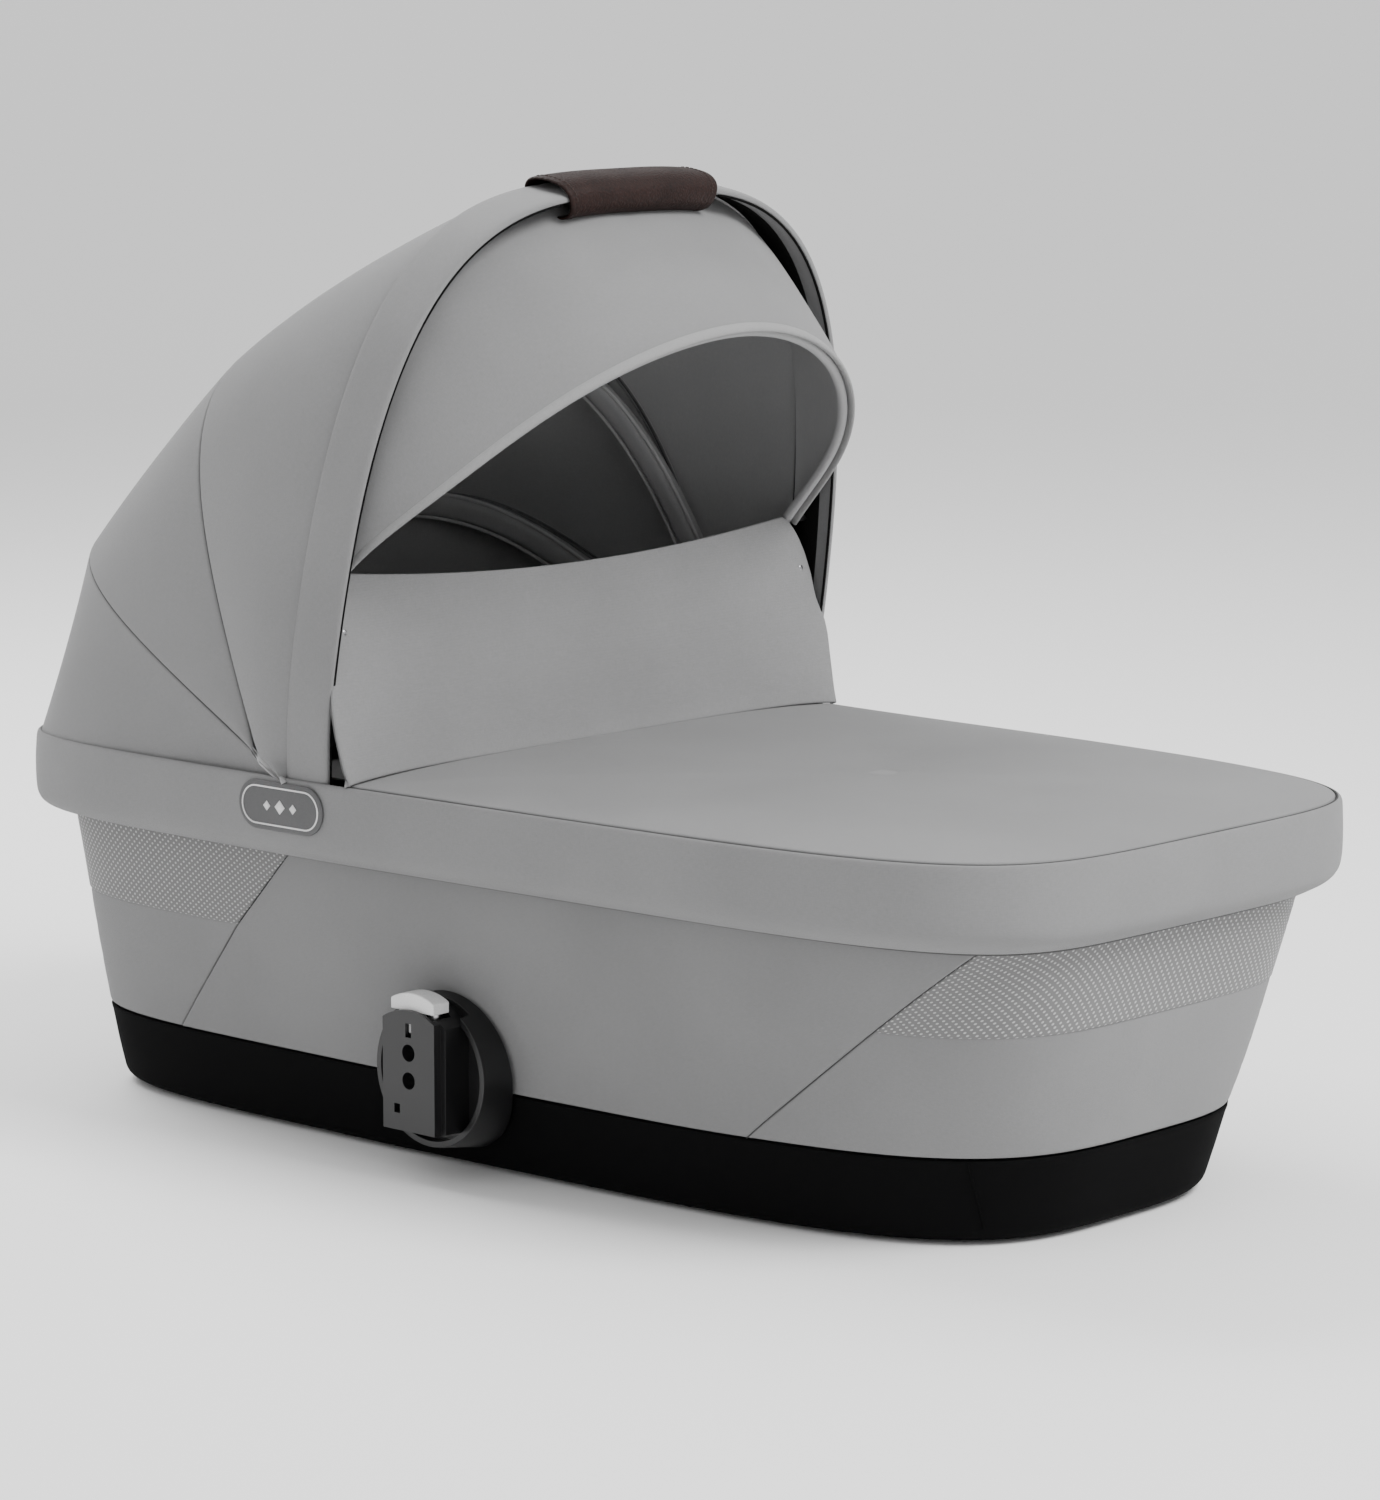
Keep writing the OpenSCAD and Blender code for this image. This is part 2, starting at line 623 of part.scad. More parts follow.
module adapter_button() {
    translate([-button_half, button_y[0], button_bottom])
        cube([2 * button_half, button_y[1] - button_y[0], 6]);
    intersection() {
        translate([-button_half, button_y[0], button_bottom + 6])
            cube([2 * button_half, button_y[1] - button_y[0], button_top - button_bottom - 6]);
        translate([0, 200, button_top - 40]) rotate([-90, 0, 0]) cylinder(r = 40, h = 40);
    }
    translate([-tongue_half, button_y[1] - 4, 97]) cube([2 * tongue_half, 4, button_bottom - 97 + 1]);
}
module adapter_button_left() { color(white) place_adapter(1) adapter_button(); }
module adapter_button_right() { color(white) place_adapter(-1) adapter_button(); }

module button_springs() {
    for (s = [-1, 1])
        translate([s * spring_spread, (button_y[0] + button_y[1]) / 2, 97.2]) difference() {
            cylinder(r = 4, h = button_bottom - 97.4);
            translate([0, 0, -1]) cylinder(r = 2.8, h = 20);
        }
}
module button_springs_left() { color(steel) place_adapter(1) button_springs(); }
module button_springs_right() { color(steel) place_adapter(-1) button_springs(); }

module adapter_screws() {
    color(steel) both_sides() translate([-adapter_back, 0, 0]) for (z = screw_rows) {
        translate([0, recess_floor + 10.2, z]) rotate([-90, 0, 0]) cylinder(r = 4.2, h = 4);
        translate([0, 196, z]) rotate([-90, 0, 0]) cylinder(r = adapter_screw_r, h = 20);
    }
}

base_tray();
base_feet();
base_screws();
tub_shell();
base_board();
mattress();
inner_liner();
side_cover();
head_vent();
foot_vent();
rim_frame();
hood_skirt();
apron_skirt();
apron_top();
hood_hub_left();
hood_hub_right();
pivot_pin_left();
pivot_pin_right();
badge_left();
badge_right();
canopy_rear_panel();
canopy_mid_panel();
canopy_front_panel();
rear_bow();
mid_bow();
front_bow();
front_bow_cover();
handle_sleeve();
visor_pins();
visor_wire();
visor_panel();
wind_flap();
flap_studs();
adapter_housing_left();
adapter_housing_right();
adapter_plate_left();
adapter_plate_right();
adapter_button_left();
adapter_button_right();
button_springs_left();
button_springs_right();
adapter_screws();
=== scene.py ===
import math

import bmesh
import bpy
import numpy as np
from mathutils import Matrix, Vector, noise


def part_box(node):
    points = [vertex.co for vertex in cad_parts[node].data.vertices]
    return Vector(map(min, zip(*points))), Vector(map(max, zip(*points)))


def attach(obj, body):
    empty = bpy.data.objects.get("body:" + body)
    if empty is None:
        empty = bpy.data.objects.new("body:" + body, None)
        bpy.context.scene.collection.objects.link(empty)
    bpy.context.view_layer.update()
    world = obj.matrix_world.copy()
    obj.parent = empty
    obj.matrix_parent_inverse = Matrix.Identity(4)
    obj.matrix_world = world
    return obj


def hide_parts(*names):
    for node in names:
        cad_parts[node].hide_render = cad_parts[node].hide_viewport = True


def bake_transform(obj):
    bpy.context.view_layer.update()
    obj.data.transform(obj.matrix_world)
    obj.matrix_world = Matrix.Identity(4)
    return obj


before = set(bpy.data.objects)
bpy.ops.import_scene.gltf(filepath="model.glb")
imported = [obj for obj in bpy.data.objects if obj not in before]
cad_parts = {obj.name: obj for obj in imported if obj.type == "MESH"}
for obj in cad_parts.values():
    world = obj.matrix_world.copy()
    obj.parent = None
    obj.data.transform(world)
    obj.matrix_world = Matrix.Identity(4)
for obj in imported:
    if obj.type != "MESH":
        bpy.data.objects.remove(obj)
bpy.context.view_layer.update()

MM = 0.001


# ---- Camera ----
def make_camera():
    """Looks from beyond the foot end, over the near corner."""
    azimuth, elevation, distance = math.radians(42.218), math.radians(9.217), 3.5
    target = Vector((0.002, 0.002, 0.254))
    back = Vector((math.sin(azimuth) * math.cos(elevation),
                   -math.cos(azimuth) * math.cos(elevation), math.sin(elevation)))
    camera = bpy.data.objects.new("camera", bpy.data.cameras.new("camera"))
    bpy.context.scene.collection.objects.link(camera)
    camera.data.lens = 128.2
    camera.data.sensor_width = 36
    camera.location = target + back * distance
    camera.rotation_mode = "QUATERNION"
    camera.rotation_quaternion = (-back).to_track_quat("-Z", "Y")
    bpy.context.scene.camera = camera


make_camera()

# ---- Sizes, from the frame and from the CAD design ----
TRAY_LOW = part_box("base_tray")[0].z
TRAY_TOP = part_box("base_tray")[1].z
RIM_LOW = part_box("apron_skirt")[0].z
RIM_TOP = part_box("apron_skirt")[1].z
RIM_LENGTH = 430 * MM
RIM_HALF = 237.5 * MM
RIM_POWERS = (5.0, 7.6)       # foot end, head end
FOOT_TAPER = 0.147            # narrowing of the half-width per metre, forward of TAPER_START
TAPER_START = -100 * MM
APRON_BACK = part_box("apron_top")[0].x
PIVOT = Vector((-130, 0, 234)) * MM
SEAM_R = 2.2 * MM             # radius of a turned-in fabric edge
INSIDE = np.array([-0.05, 0, 0.2])


# ---- Outlines ----
def superellipse(phi, power):
    c, s = np.cos(phi), np.sin(phi)
    r = (np.abs(c) ** power + np.abs(s) ** power) ** (-1 / power)
    return r * c, r * s


def outline(phi, head, foot, half, foot_power, head_power):
    """Plan outline in direction phi, which is 0 at the foot end and pi at the head end."""
    xf, yf = superellipse(phi, foot_power)
    xh, yh = superellipse(phi, head_power)
    front = np.cos(phi) >= 0
    x = np.where(front, xf * foot, xh * head)
    y = np.where(front, yf, yh) * half
    return x, y * (1 - FOOT_TAPER * np.maximum(x - TAPER_START, 0))


def tub(phi, z, out=0.0):
    """Point of the tub's outer side at height z, moved outwards by out."""
    phi, z, out = np.broadcast_arrays(phi, z, out)
    mm = z / MM
    head = np.interp(mm, [0, 57, 193], [408, 410, 426]) * MM + out
    foot = np.interp(mm, [0, 57, 193], [368, 383, 408]) * MM + out
    half = np.interp(mm, [0, 57, 193, 207], [176, 189, 202, 203]) * MM + out
    x, y = outline(phi, head, foot, half, np.interp(mm, [57, 193], [3.6, 5.5]),
                   np.interp(mm, [0, 57, 193], [6.5, 6.8, 7.5]))
    return np.stack([x, y, z], -1)


def rim(phi, z, inset=0.0):
    """Point of the rim's outline at height z, moved inwards by inset."""
    phi, z = np.broadcast_arrays(phi, z)
    x, y = outline(phi, RIM_LENGTH - inset, RIM_LENGTH - inset, RIM_HALF - inset, *RIM_POWERS)
    return np.stack([x, y, z], -1)


def along(points):
    """Distance along a line of points."""
    return np.concatenate([[0], np.cumsum(np.linalg.norm(np.diff(points, axis=0), axis=1))])


def even_angles(curve, lo, hi, step):
    """Angles from lo to hi at which curve(angle) is spaced evenly, about step apart."""
    fine = np.linspace(lo, hi, 6000)
    run = along(curve(fine))
    return np.interp(np.linspace(0, run[-1], int(run[-1] / step) + 1), run, fine)


def angle_at(x, z, side):
    """Direction at which the tub's side at height z has that x, on the side +1 or -1."""
    fine = np.linspace(0.02, math.pi - 0.02, 6000)
    xs = tub(fine, z)[:, 0]
    return side * np.interp(-x, -xs, fine)


# ---- Arches of the hood ----
def arch(angle, reach, half, power, foot_x, foot_z=234):
    """An arch that leans angle degrees up from straight back. Sizes in millimetres."""
    return {"angle": math.radians(angle), "reach": reach * MM, "half": half * MM, "power": power,
            "x": foot_x * MM, "z": foot_z * MM}


RIM_ARCH = arch(3.25, 318, 232.5, 5.6, -112)
REAR_SEAM = arch(29, 314, 233, 5.3, -112)
MID_SEAM = arch(68.4, 309, 233, 3.9, -150)
FRONT_ARCH = {**arch(99, 393, 241, 3.2, -115), "tuck": 7.6 * MM}
REAR_BOW = arch(30.7, 290, 213.2, 4.6, -130)
MID_BOW = arch(64.9, 307.5, 217.8, 3.2, -130)
VISOR_FRONT = arch(129.1, 207, 214.4, 1.9, -78.4, 373.6)
BOW_HALF = 19 * MM            # half the width of the front bow's sleeve
BOW_MID = -2.5 * MM           # its middle, across the bow's plane
GRIP_DEEP = 14.8 * MM


def arch_point(a, share, foot, r=0.0, d=0.0):
    """Point at that share of the way over arch a, which begins foot up its plane. It is moved
    out by r, and forwards, square to the arch's plane, by d. A tuck draws its feet inwards."""
    start = math.asin((foot / a["reach"]) ** (a["power"] / 2))
    t = start + (math.pi - 2 * start) * share
    q = (a["reach"] + r) * np.sin(t) ** (2 / a["power"])
    c = np.cos(t)
    y = (a["half"] + r) * np.sign(c) * np.abs(c) ** (2 / a["power"])
    y = y - np.sign(c) * a.get("tuck", 0) * np.exp(-(q / (45 * MM)) ** 2)
    ca, sa = math.cos(a["angle"]), math.sin(a["angle"])
    return np.stack(np.broadcast_arrays(a["x"] - ca * q + sa * d, y, a["z"] + sa * q + ca * d), -1)


def arch_shares(a, foot, count):
    """Shares from 0 to 1 that space count points evenly along the arch."""
    fine = (1 - np.cos(np.linspace(0, math.pi, 6000))) / 2
    run = along(arch_point(a, fine, foot))
    return np.interp(np.linspace(0, run[-1], count), run, fine)


def shifted(a, d):
    """The same arch moved forwards by d, square to its own plane."""
    return {**a, "x": a["x"] + math.sin(a["angle"]) * d, "z": a["z"] + math.cos(a["angle"]) * d}


def crown(a):
    """Highest point of an arch."""
    return Vector(arch_point(a, 0.5, 10 * MM))


# ---- Meshes ----
def stations(length, step):
    """Shares from 0 to 1 of a run of that length, close together where its edges roll in."""
    near = np.array([0, 0.4, 1.0, 1.8, 3.0, 5.0]) * MM
    middle = np.linspace(near[-1], length - near[-1], max(int((length - 2 * near[-1]) / step), 1) + 1)
    return np.concatenate([near[:-1], middle, (length - near[:-1])[::-1]]) / length


def normals(points, closed=False):
    if closed:
        wide = np.concatenate([points[:, -1:], points, points[:, :1]], 1)
        across = np.gradient(wide, axis=1)[:, 1:-1]
    else:
        across = np.gradient(points, axis=1)
    n = np.cross(np.gradient(points, axis=0), across)
    return n / np.maximum(np.linalg.norm(n, axis=-1, keepdims=True), 1e-12)


def oriented(points, closed=False, inside=INSIDE):
    """The grid with its columns turned round if its normals pointed inwards."""
    if (normals(points, closed) * (points - inside)).sum() < 0:
        return points[:, ::-1]
    return points


def runs(points, axis):
    step = np.linalg.norm(np.diff(points, axis=axis), axis=-1)
    first = np.zeros_like(np.take(step, [0], axis))
    return np.concatenate([first, np.cumsum(step, axis=axis)], axis=axis)


def rolled(points, radius, rows=(1, 1), cols=(1, 1), closed=False):
    """Turns the chosen edges of a grid down in a quarter round. rows and cols switch each edge."""
    n = normals(points, closed)
    drop = np.zeros(points.shape[:2])
    for axis, ends in ((0, rows), (1, cols)):
        run = runs(points, axis)
        for end, distance in zip(ends, (run, np.take(run, [-1], axis) - run)):
            if end:
                k = np.clip(1 - distance / radius, 0, 1)
                drop = np.maximum(drop, radius * (1 - np.sqrt(1 - k * k)))
    return points - n * drop[..., None]


def soft_noise(points, scale, seed=0.0):
    """Smooth noise from -1 to 1 at each point. scale is per metre, one number or three."""
    flat = (points * np.array(scale) + seed).reshape(-1, 3)
    return np.array([noise.noise(Vector(p)) for p in flat]).reshape(points.shape[:-1])


def ruffled(points, height, scale, seed=0.0, closed=False):
    """The grid with soft unevenness of that height."""
    return points + normals(points, closed) * (soft_noise(points, scale, seed) * height)[..., None]


def new_object(name, verts, faces, materials, uvs=None, indices=None):
    mesh = bpy.data.meshes.new(name)
    mesh.from_pydata([tuple(v) for v in verts], [], [tuple(f) for f in faces])
    for material in materials:
        mesh.materials.append(material)
    mesh.polygons.foreach_set("use_smooth", [True] * len(mesh.polygons))
    if indices is not None:
        mesh.polygons.foreach_set("material_index", np.asarray(indices, np.int32))
    if uvs is not None:
        mesh.uv_layers.new(name="cloth").data.foreach_set("uv", np.asarray(uvs, np.float32).ravel())
    obj = bpy.data.objects.new(name, mesh)
    bpy.context.scene.collection.objects.link(obj)
    return obj


def cloth(name, points, thick, materials, closed=False, inside=INSIDE, pole=False, shear=0.0):
    """A closed solid with the grid as its outer face. Its inner face takes the last material.
    Its UV map is in metres along the grid, and shear slides each row of it. With pole, both faces
    close over the first row."""
    points = oriented(points, closed, inside)
    rows, cols = points.shape[:2]
    inner = points - normals(points, closed) * thick
    verts = np.concatenate([points.reshape(-1, 3), inner.reshape(-1, 3)])
    shift = rows * cols
    ring = np.concatenate([points, points[:, :1]], 1) if closed else points
    u, v = runs(ring, 1) + np.reshape(shear, (-1, 1)), runs(ring, 0)
    last = cols if closed else cols - 1
    i, j = (g.ravel() for g in np.meshgrid(np.arange(rows - 1), np.arange(last), indexing="ij"))
    faces, uvs, kinds = [], [], []

    def add(ri, rj, layers, kind):
        """Quads whose corners are at rows ri and columns rj, on the outer (0) or inner (1) layer."""
        ids = np.stack([r * cols + c % cols + layer * shift for r, c, layer in zip(ri, rj, layers)], 1)
        faces.append(ids)
        uvs.append(np.stack([np.stack([u[r, c], v[r, c] + layer * thick], -1)
                             for r, c, layer in zip(ri, rj, layers)], 1))
        kinds.append(np.full(len(ids), kind))

    inner_kind = len(materials) - 1
    add((i, i + 1, i + 1, i), (j, j, j + 1, j + 1), (0, 0, 0, 0), 0)
    add((i, i, i + 1, i + 1), (j, j + 1, j + 1, j), (1, 1, 1, 1), inner_kind)
    e = np.arange(last)
    top, bottom = np.full(last, rows - 1), np.zeros(last, int)
    if not pole:
        add((bottom,) * 4, (e, e + 1, e + 1, e), (0, 0, 1, 1), 0)
    add((top,) * 4, (e + 1, e, e, e + 1), (0, 0, 1, 1), 0)
    if not closed:
        e = np.arange(rows - 1)
        left, right = np.zeros(rows - 1, int), np.full(rows - 1, cols - 1)
        add((e + 1, e, e, e + 1), (left,) * 4, (0, 0, 1, 1), 0)
        add((e, e + 1, e + 1, e), (right,) * 4, (0, 0, 1, 1), 0)
    faces, kinds = np.concatenate(faces).tolist(), list(np.concatenate(kinds))
    uvs = np.concatenate(uvs).reshape(-1, 2)
    if pole:
        faces += [list(range(cols)), list(range(shift + cols - 1, shift - 1, -1))]
        uvs = np.concatenate([uvs, np.zeros((2 * cols, 2))])
        kinds += [0, inner_kind]
    return new_object(name, verts, faces, materials, uvs, kinds)


def swept(path, section, closed=False):
    """Grid of a section swept along a path: section is (x, y) pairs across the path."""
    path = np.asarray(path, float)
    ahead = np.roll(path, -1, 0) - np.roll(path, 1, 0)
    if not closed:
        ahead = np.gradient(path, axis=0)
    ahead /= np.linalg.norm(ahead, axis=1, keepdims=True)
    side = np.cross(ahead[0], [0, 0, 1.0])
    if np.linalg.norm(side) < 0.2:
        side = np.cross(ahead[0], [1.0, 0, 0])
    sides = []
    for a in ahead:
        side = side - a * (side @ a)
        side = side / np.linalg.norm(side)
        sides.append(side)
    sides = np.array(sides)
    ups = np.cross(sides, ahead)
    return path[:, None] + sides[:, None] * section[None, :, :1] + ups[:, None] * section[None, :, 1:]


def circle(radius, sides=8):
    a = np.linspace(0, 2 * math.pi, sides, endpoint=False)
    return np.stack([np.cos(a), np.sin(a)], 1) * radius


def lofted(name, grids, material, loop=False):
    """Solids whose sections are the rows of each grid, all in one object. With loop, the last row
    joins the first; otherwise both ends are closed."""
    verts, faces, caps, uvs, start = [], [], [], [], 0
    for grid in grids:
        rows, cols = grid.shape[:2]
        ring = np.concatenate([grid, grid[:, :1]], 1)
        ring = np.concatenate([ring, ring[:1]]) if loop else ring
        u, v = runs(ring, 0), runs(ring, 1)
        i, j = (g.ravel() for g in np.meshgrid(np.arange(len(ring) - 1), np.arange(cols), indexing="ij"))
        ri, cj = (i, i + 1, i + 1, i), (j, j, j + 1, j + 1)
        faces += np.stack([start + r % rows * cols + c % cols for r, c in zip(ri, cj)], 1).tolist()
        uvs.append(np.stack([np.stack([u[r, c], v[r, c]], -1) for r, c in zip(ri, cj)], 1).reshape(-1, 2))
        if not loop:
            caps += [list(range(start, start + cols)),
                     list(range(start + rows * cols - 1, start + (rows - 1) * cols - 1, -1))]
        verts.append(grid.reshape(-1, 3))
        start += rows * cols
    uvs.append(np.zeros((sum(len(c) for c in caps), 2)))
    obj = new_object(name, np.concatenate(verts), faces + caps, [material], np.concatenate(uvs))
    fix_normals(obj)
    return obj


def fix_normals(obj):
    bm = bmesh.new()
    bm.from_mesh(obj.data)
    bmesh.ops.recalc_face_normals(bm, faces=bm.faces)
    bm.to_mesh(obj.data)
    bm.free()


def tubes(name, paths, radius, material, closed=False, sides=8):
    """Round cords along paths, all in one object."""
    return lofted(name, [swept(path, circle(radius, sides), closed) for path in paths], material, closed)


def stitches(name, path, material, length=3.2 * MM, gap=1.6 * MM, radius=0.38 * MM):
    """A row of short stitches along a path."""
    path = np.asarray(path, float)
    run = along(path)
    begins = np.arange(gap, run[-1] - length - gap, length + gap)
    shares = np.array([0, 0.2, 0.5, 0.8, 1]) * length
    dashes = [np.stack([np.interp(b + shares, run, path[:, k]) for k in range(3)], 1) for b in begins]
    return tubes(name, dashes, radius, material, sides=5)


def finished(obj, body, slot, *nodes):
    """Rides on body and stands for the nodes. slot is not used."""
    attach(obj, body)
    if nodes:
        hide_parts(*nodes)
    return obj


# ---- Materials ----
class Shader:
    """A material's node tree, with short ways to add nodes and link them."""

    def __init__(self, name, roughness=0.6, metallic=0.0, **constants):
        self.material = bpy.data.materials.new(name)
        self.material.use_nodes = True
        self.tree = self.material.node_tree
        self.shader = self.tree.nodes["Principled BSDF"]
        self.shader.inputs["Roughness"].default_value = roughness
        self.shader.inputs["Metallic"].default_value = metallic
        for key, value in constants.items():
            self.shader.inputs[key.replace("_", " ")].default_value = value

    def node(self, kind, inputs=(), **settings):
        n = self.tree.nodes.new("ShaderNode" + kind)
        for key, value in settings.items():
            setattr(n, key, value)
        for key, value in dict(inputs).items():
            if isinstance(value, bpy.types.NodeSocket):
                self.tree.links.new(value, n.inputs[key])
            else:
                n.inputs[key].default_value = value
        return n

    def math(self, operation, a, b=0.0, clamp=False):
        n = self.node("Math", {0: a, 1: b}, operation=operation, use_clamp=clamp)
        return n.outputs[0]

    def uv(self):
        return self.node("UVMap", uv_map="cloth").outputs["UV"]

    def place(self):
        return self.node("TexCoord").outputs["Object"]

    def scaled(self, vector, scale):
        return self.node("Mapping", {"Vector": vector, "Scale": scale}).outputs["Vector"]

    def noise(self, vector, scale, detail=2.0):
        return self.node("TexNoise", {"Vector": vector, "Scale": scale, "Detail": detail}).outputs["Fac"]

    def ramp(self, fac, *stops):
        """Colour ramp through (place, grey or colour) stops."""
        n = self.node("ValToRGB", {"Fac": fac})
        while len(n.color_ramp.elements) < len(stops):
            n.color_ramp.elements.new(1.0)
        for element, (at, colour) in zip(n.color_ramp.elements, stops):
            element.position = at
            element.color = (*colour, 1.0)
        return n.outputs["Color"]

    def sum(self, *terms):
        """Sum of (socket, weight) pairs."""
        total = None
        for socket, weight in terms:
            part = self.math("MULTIPLY", socket, weight)
            total = part if total is None else self.math("ADD", total, part)
        return total

    def finish(self, colour, height=None, depth=0.1 * MM, roughness=None):
        self.tree.links.new(colour, self.shader.inputs["Base Color"])
        if height is not None:
            bump = self.node("Bump", {"Height": height, "Distance": depth, "Strength": 1.0})
            self.tree.links.new(bump.outputs["Normal"], self.shader.inputs["Normal"])
        if roughness is not None:
            self.tree.links.new(roughness, self.shader.inputs["Roughness"])
        return self.material

    def between(self, fac, low, high):
        return self.node("MapRange", {"Value": fac, "To Min": low, "To Max": high}).outputs["Result"]


def tint(colour, share):
    return tuple(c * share for c in colour)


def woven(name, colour, pitch=0.75 * MM, on_grid=True, depth=0.12 * MM, sheen=0.15):
    """Plain weave of melange yarn. Each thread has its own tone, and the cloth is a little uneven."""
    m = Shader(name, Sheen_Weight=sheen, Sheen_Roughness=0.5)
    m.shader.inputs["Specular IOR Level"].default_value = 0.2 if sheen else 0.05
    spot = m.uv() if on_grid else m.place()
    weave = m.node("TexBrick", {"Vector": spot, "Scale": 1 / pitch, "Mortar Size": 0.12,
                                "Mortar Smooth": 0.8, "Brick Width": 1.0, "Row Height": 0.5})
    warp = m.noise(m.scaled(spot, (1400, 260, 1400)), 1.0)
    weft = m.noise(m.scaled(spot, (260, 1400, 260)), 1.0)
    cloud = m.noise(m.place(), 9.0, 3.0)
    tone = m.sum((warp, 0.3), (weft, 0.3), (cloud, 0.4))
    shade = m.math("SUBTRACT", tone, m.math("MULTIPLY", weave.outputs["Fac"], 0.05))
    base = m.ramp(shade, (0.25, tint(colour, 0.84)), (0.5, colour), (0.75, tint(colour, 1.16)))
    height = m.sum((weave.outputs["Fac"], -0.6), (warp, 0.5), (weft, 0.5))
    return m.finish(base, height, depth, m.between(warp, 0.78, 0.95))


def dotted_mesh(name, ground, dot):
    """Spacer mesh: rows of small light knots, every other row shifted by half a step."""
    across, down, radius = 5.6 * MM, 5.4 * MM, 1.15 * MM
    m = Shader(name, Sheen_Weight=0.15)
    m.shader.inputs["Specular IOR Level"].default_value = 0.25
    parts = m.node("SeparateXYZ", {"Vector": m.uv()})
    row = m.math("DIVIDE", parts.outputs["Y"], down / 2)
    odd = m.math("MODULO", m.math("FLOOR", row), 2.0)
    col = m.math("ADD", m.math("DIVIDE", parts.outputs["X"], across), m.math("MULTIPLY", odd, 0.5))
    du = m.math("MULTIPLY", m.math("SUBTRACT", m.math("FRACT", col), 0.5), across)
    dv = m.math("MULTIPLY", m.math("SUBTRACT", m.math("FRACT", row), 0.5), down / 2)
    away = m.math("SQRT", m.math("ADD", m.math("MULTIPLY", du, du), m.math("MULTIPLY", dv, dv)))
    knot = m.math("SUBTRACT", 1.0, m.math("DIVIDE", away, radius), clamp=True)
    fine = m.noise(m.place(), 1500.0)
    fac = m.math("ADD", m.math("MULTIPLY", knot, 1.6, clamp=True), m.math("MULTIPLY", fine, 0.15))
    base = m.ramp(fac, (0.05, tint(ground, 0.85)), (0.25, ground), (0.75, dot))
    return m.finish(base, m.sum((knot, 1.0), (fine, 0.2)), 0.5 * MM, m.between(fine, 0.7, 0.9))


def leather(name, colour):
    m = Shader(name)
    m.shader.inputs["Specular IOR Level"].default_value = 0.2
    spot = m.place()
    cells = m.node("TexVoronoi", {"Vector": spot, "Scale": 620.0, "Smoothness": 0.6},
                   feature="SMOOTH_F1").outputs["Distance"]
    pores = m.noise(spot, 1700.0)
    cloud = m.noise(spot, 45.0, 4.0)
    tone = m.sum((cells, 0.55), (pores, 0.2), (cloud, 0.5))
    base = m.ramp(tone, (0.25, tint(colour, 1.35)), (0.5, colour), (0.85, tint(colour, 0.45)))
    return m.finish(base, m.sum((cells, -1.0), (pores, 0.3)), 0.45 * MM, m.between(cloud, 0.5, 0.7))


def moulded(name, colour, grain=0.04 * MM, smooth=0.35, rough=0.6):
    """Moulded plastic or rubber with a fine spark-eroded grain."""
    m = Shader(name)
    spot = m.place()
    fine = m.noise(spot, 1300.0)
    cloud = m.noise(spot, 25.0, 3.0)
    base = m.ramp(m.sum((fine, 0.4), (cloud, 0.6)), (0.3, tint(colour, 0.8)), (0.7, tint(colour, 1.2)))
    return m.finish(base, fine, grain, m.between(cloud, smooth, rough))


def metal(name, colour, rough=0.25):
    m = Shader(name, metallic=1.0)
    spot = m.place()
    drawn = m.noise(m.scaled(spot, (120, 1600, 1600)), 1.0)
    base = m.ramp(drawn, (0.3, tint(colour, 0.85)), (0.7, colour))
    return m.finish(base, drawn, 0.01 * MM, m.between(drawn, rough, rough + 0.15))


def hardboard(name, colour):
    m = Shader(name)
    spot = m.place()
    fibre = m.noise(m.scaled(spot, (90, 700, 700)), 1.0, 5.0)
    base = m.ramp(fibre, (0.3, tint(colour, 0.75)), (0.7, colour))
    return m.finish(base, fibre, 0.08 * MM, m.between(fibre, 0.6, 0.8))


GREY = (0.225, 0.225, 0.227)
fabric = woven("grey_fabric", GREY)
pad_fabric = woven("grey_pad_fabric", GREY, on_grid=False)
mesh_fabric = dotted_mesh("vent_mesh", (0.18, 0.18, 0.18), (0.46, 0.46, 0.46))
lining = woven("dark_lining", (0.38, 0.38, 0.382), pitch=0.5 * MM, depth=0.05 * MM)
# Black cloth of the bow's inner facing and of its front-edge piping; on the piping its black is partly
# painted shadow of the gap between the bow and the visor.
facing = woven("black_facing_and_painted_gap_shadow", (0.006, 0.006, 0.006), pitch=0.6 * MM, sheen=0.0)
base_fabric = woven("base_black", (0.0035, 0.0035, 0.0037), pitch=0.9 * MM, depth=0.1 * MM, sheen=0.0)
quilt = woven("mattress_cover", (0.62, 0.62, 0.60), on_grid=False)
thread = woven("seam_thread", (0.085, 0.085, 0.085), pitch=0.4 * MM, sheen=0.0)
piping = woven("grey_piping", (0.30, 0.30, 0.30), pitch=0.6 * MM)
dark_piping = woven("dark_piping", (0.055, 0.055, 0.055), pitch=0.6 * MM)
lining_piping = woven("lining_piping", (0.55, 0.55, 0.55), pitch=0.6 * MM)
brown = leather("brown_leather", (0.014, 0.004, 0.0025))
brown_thread = woven("brown_thread", (0.030, 0.014, 0.010), pitch=0.4 * MM)
black_plastic = moulded("black_plastic", (0.008, 0.008, 0.0085))
satin_black = moulded("satin_black", (0.006, 0.006, 0.0065), grain=0.02 * MM, smooth=0.28, rough=0.42)
white_plastic = moulded("white_plastic", (0.72, 0.72, 0.72), grain=0.02 * MM)
badge_rubber = moulded("badge_rubber", (0.075, 0.075, 0.077), grain=0.03 * MM, smooth=0.5, rough=0.7)
badge_light = moulded("badge_print", (0.62, 0.62, 0.62), grain=0.02 * MM)
rubber = moulded("foot_rubber", (0.012, 0.012, 0.012), smooth=0.7, rough=0.9)
steel = metal("bright_steel", (0.56, 0.56, 0.57))
chrome = metal("polished_chrome", (0.32, 0.32, 0.33), rough=0.25)
board = hardboard("hardboard", (0.42, 0.30, 0.18))


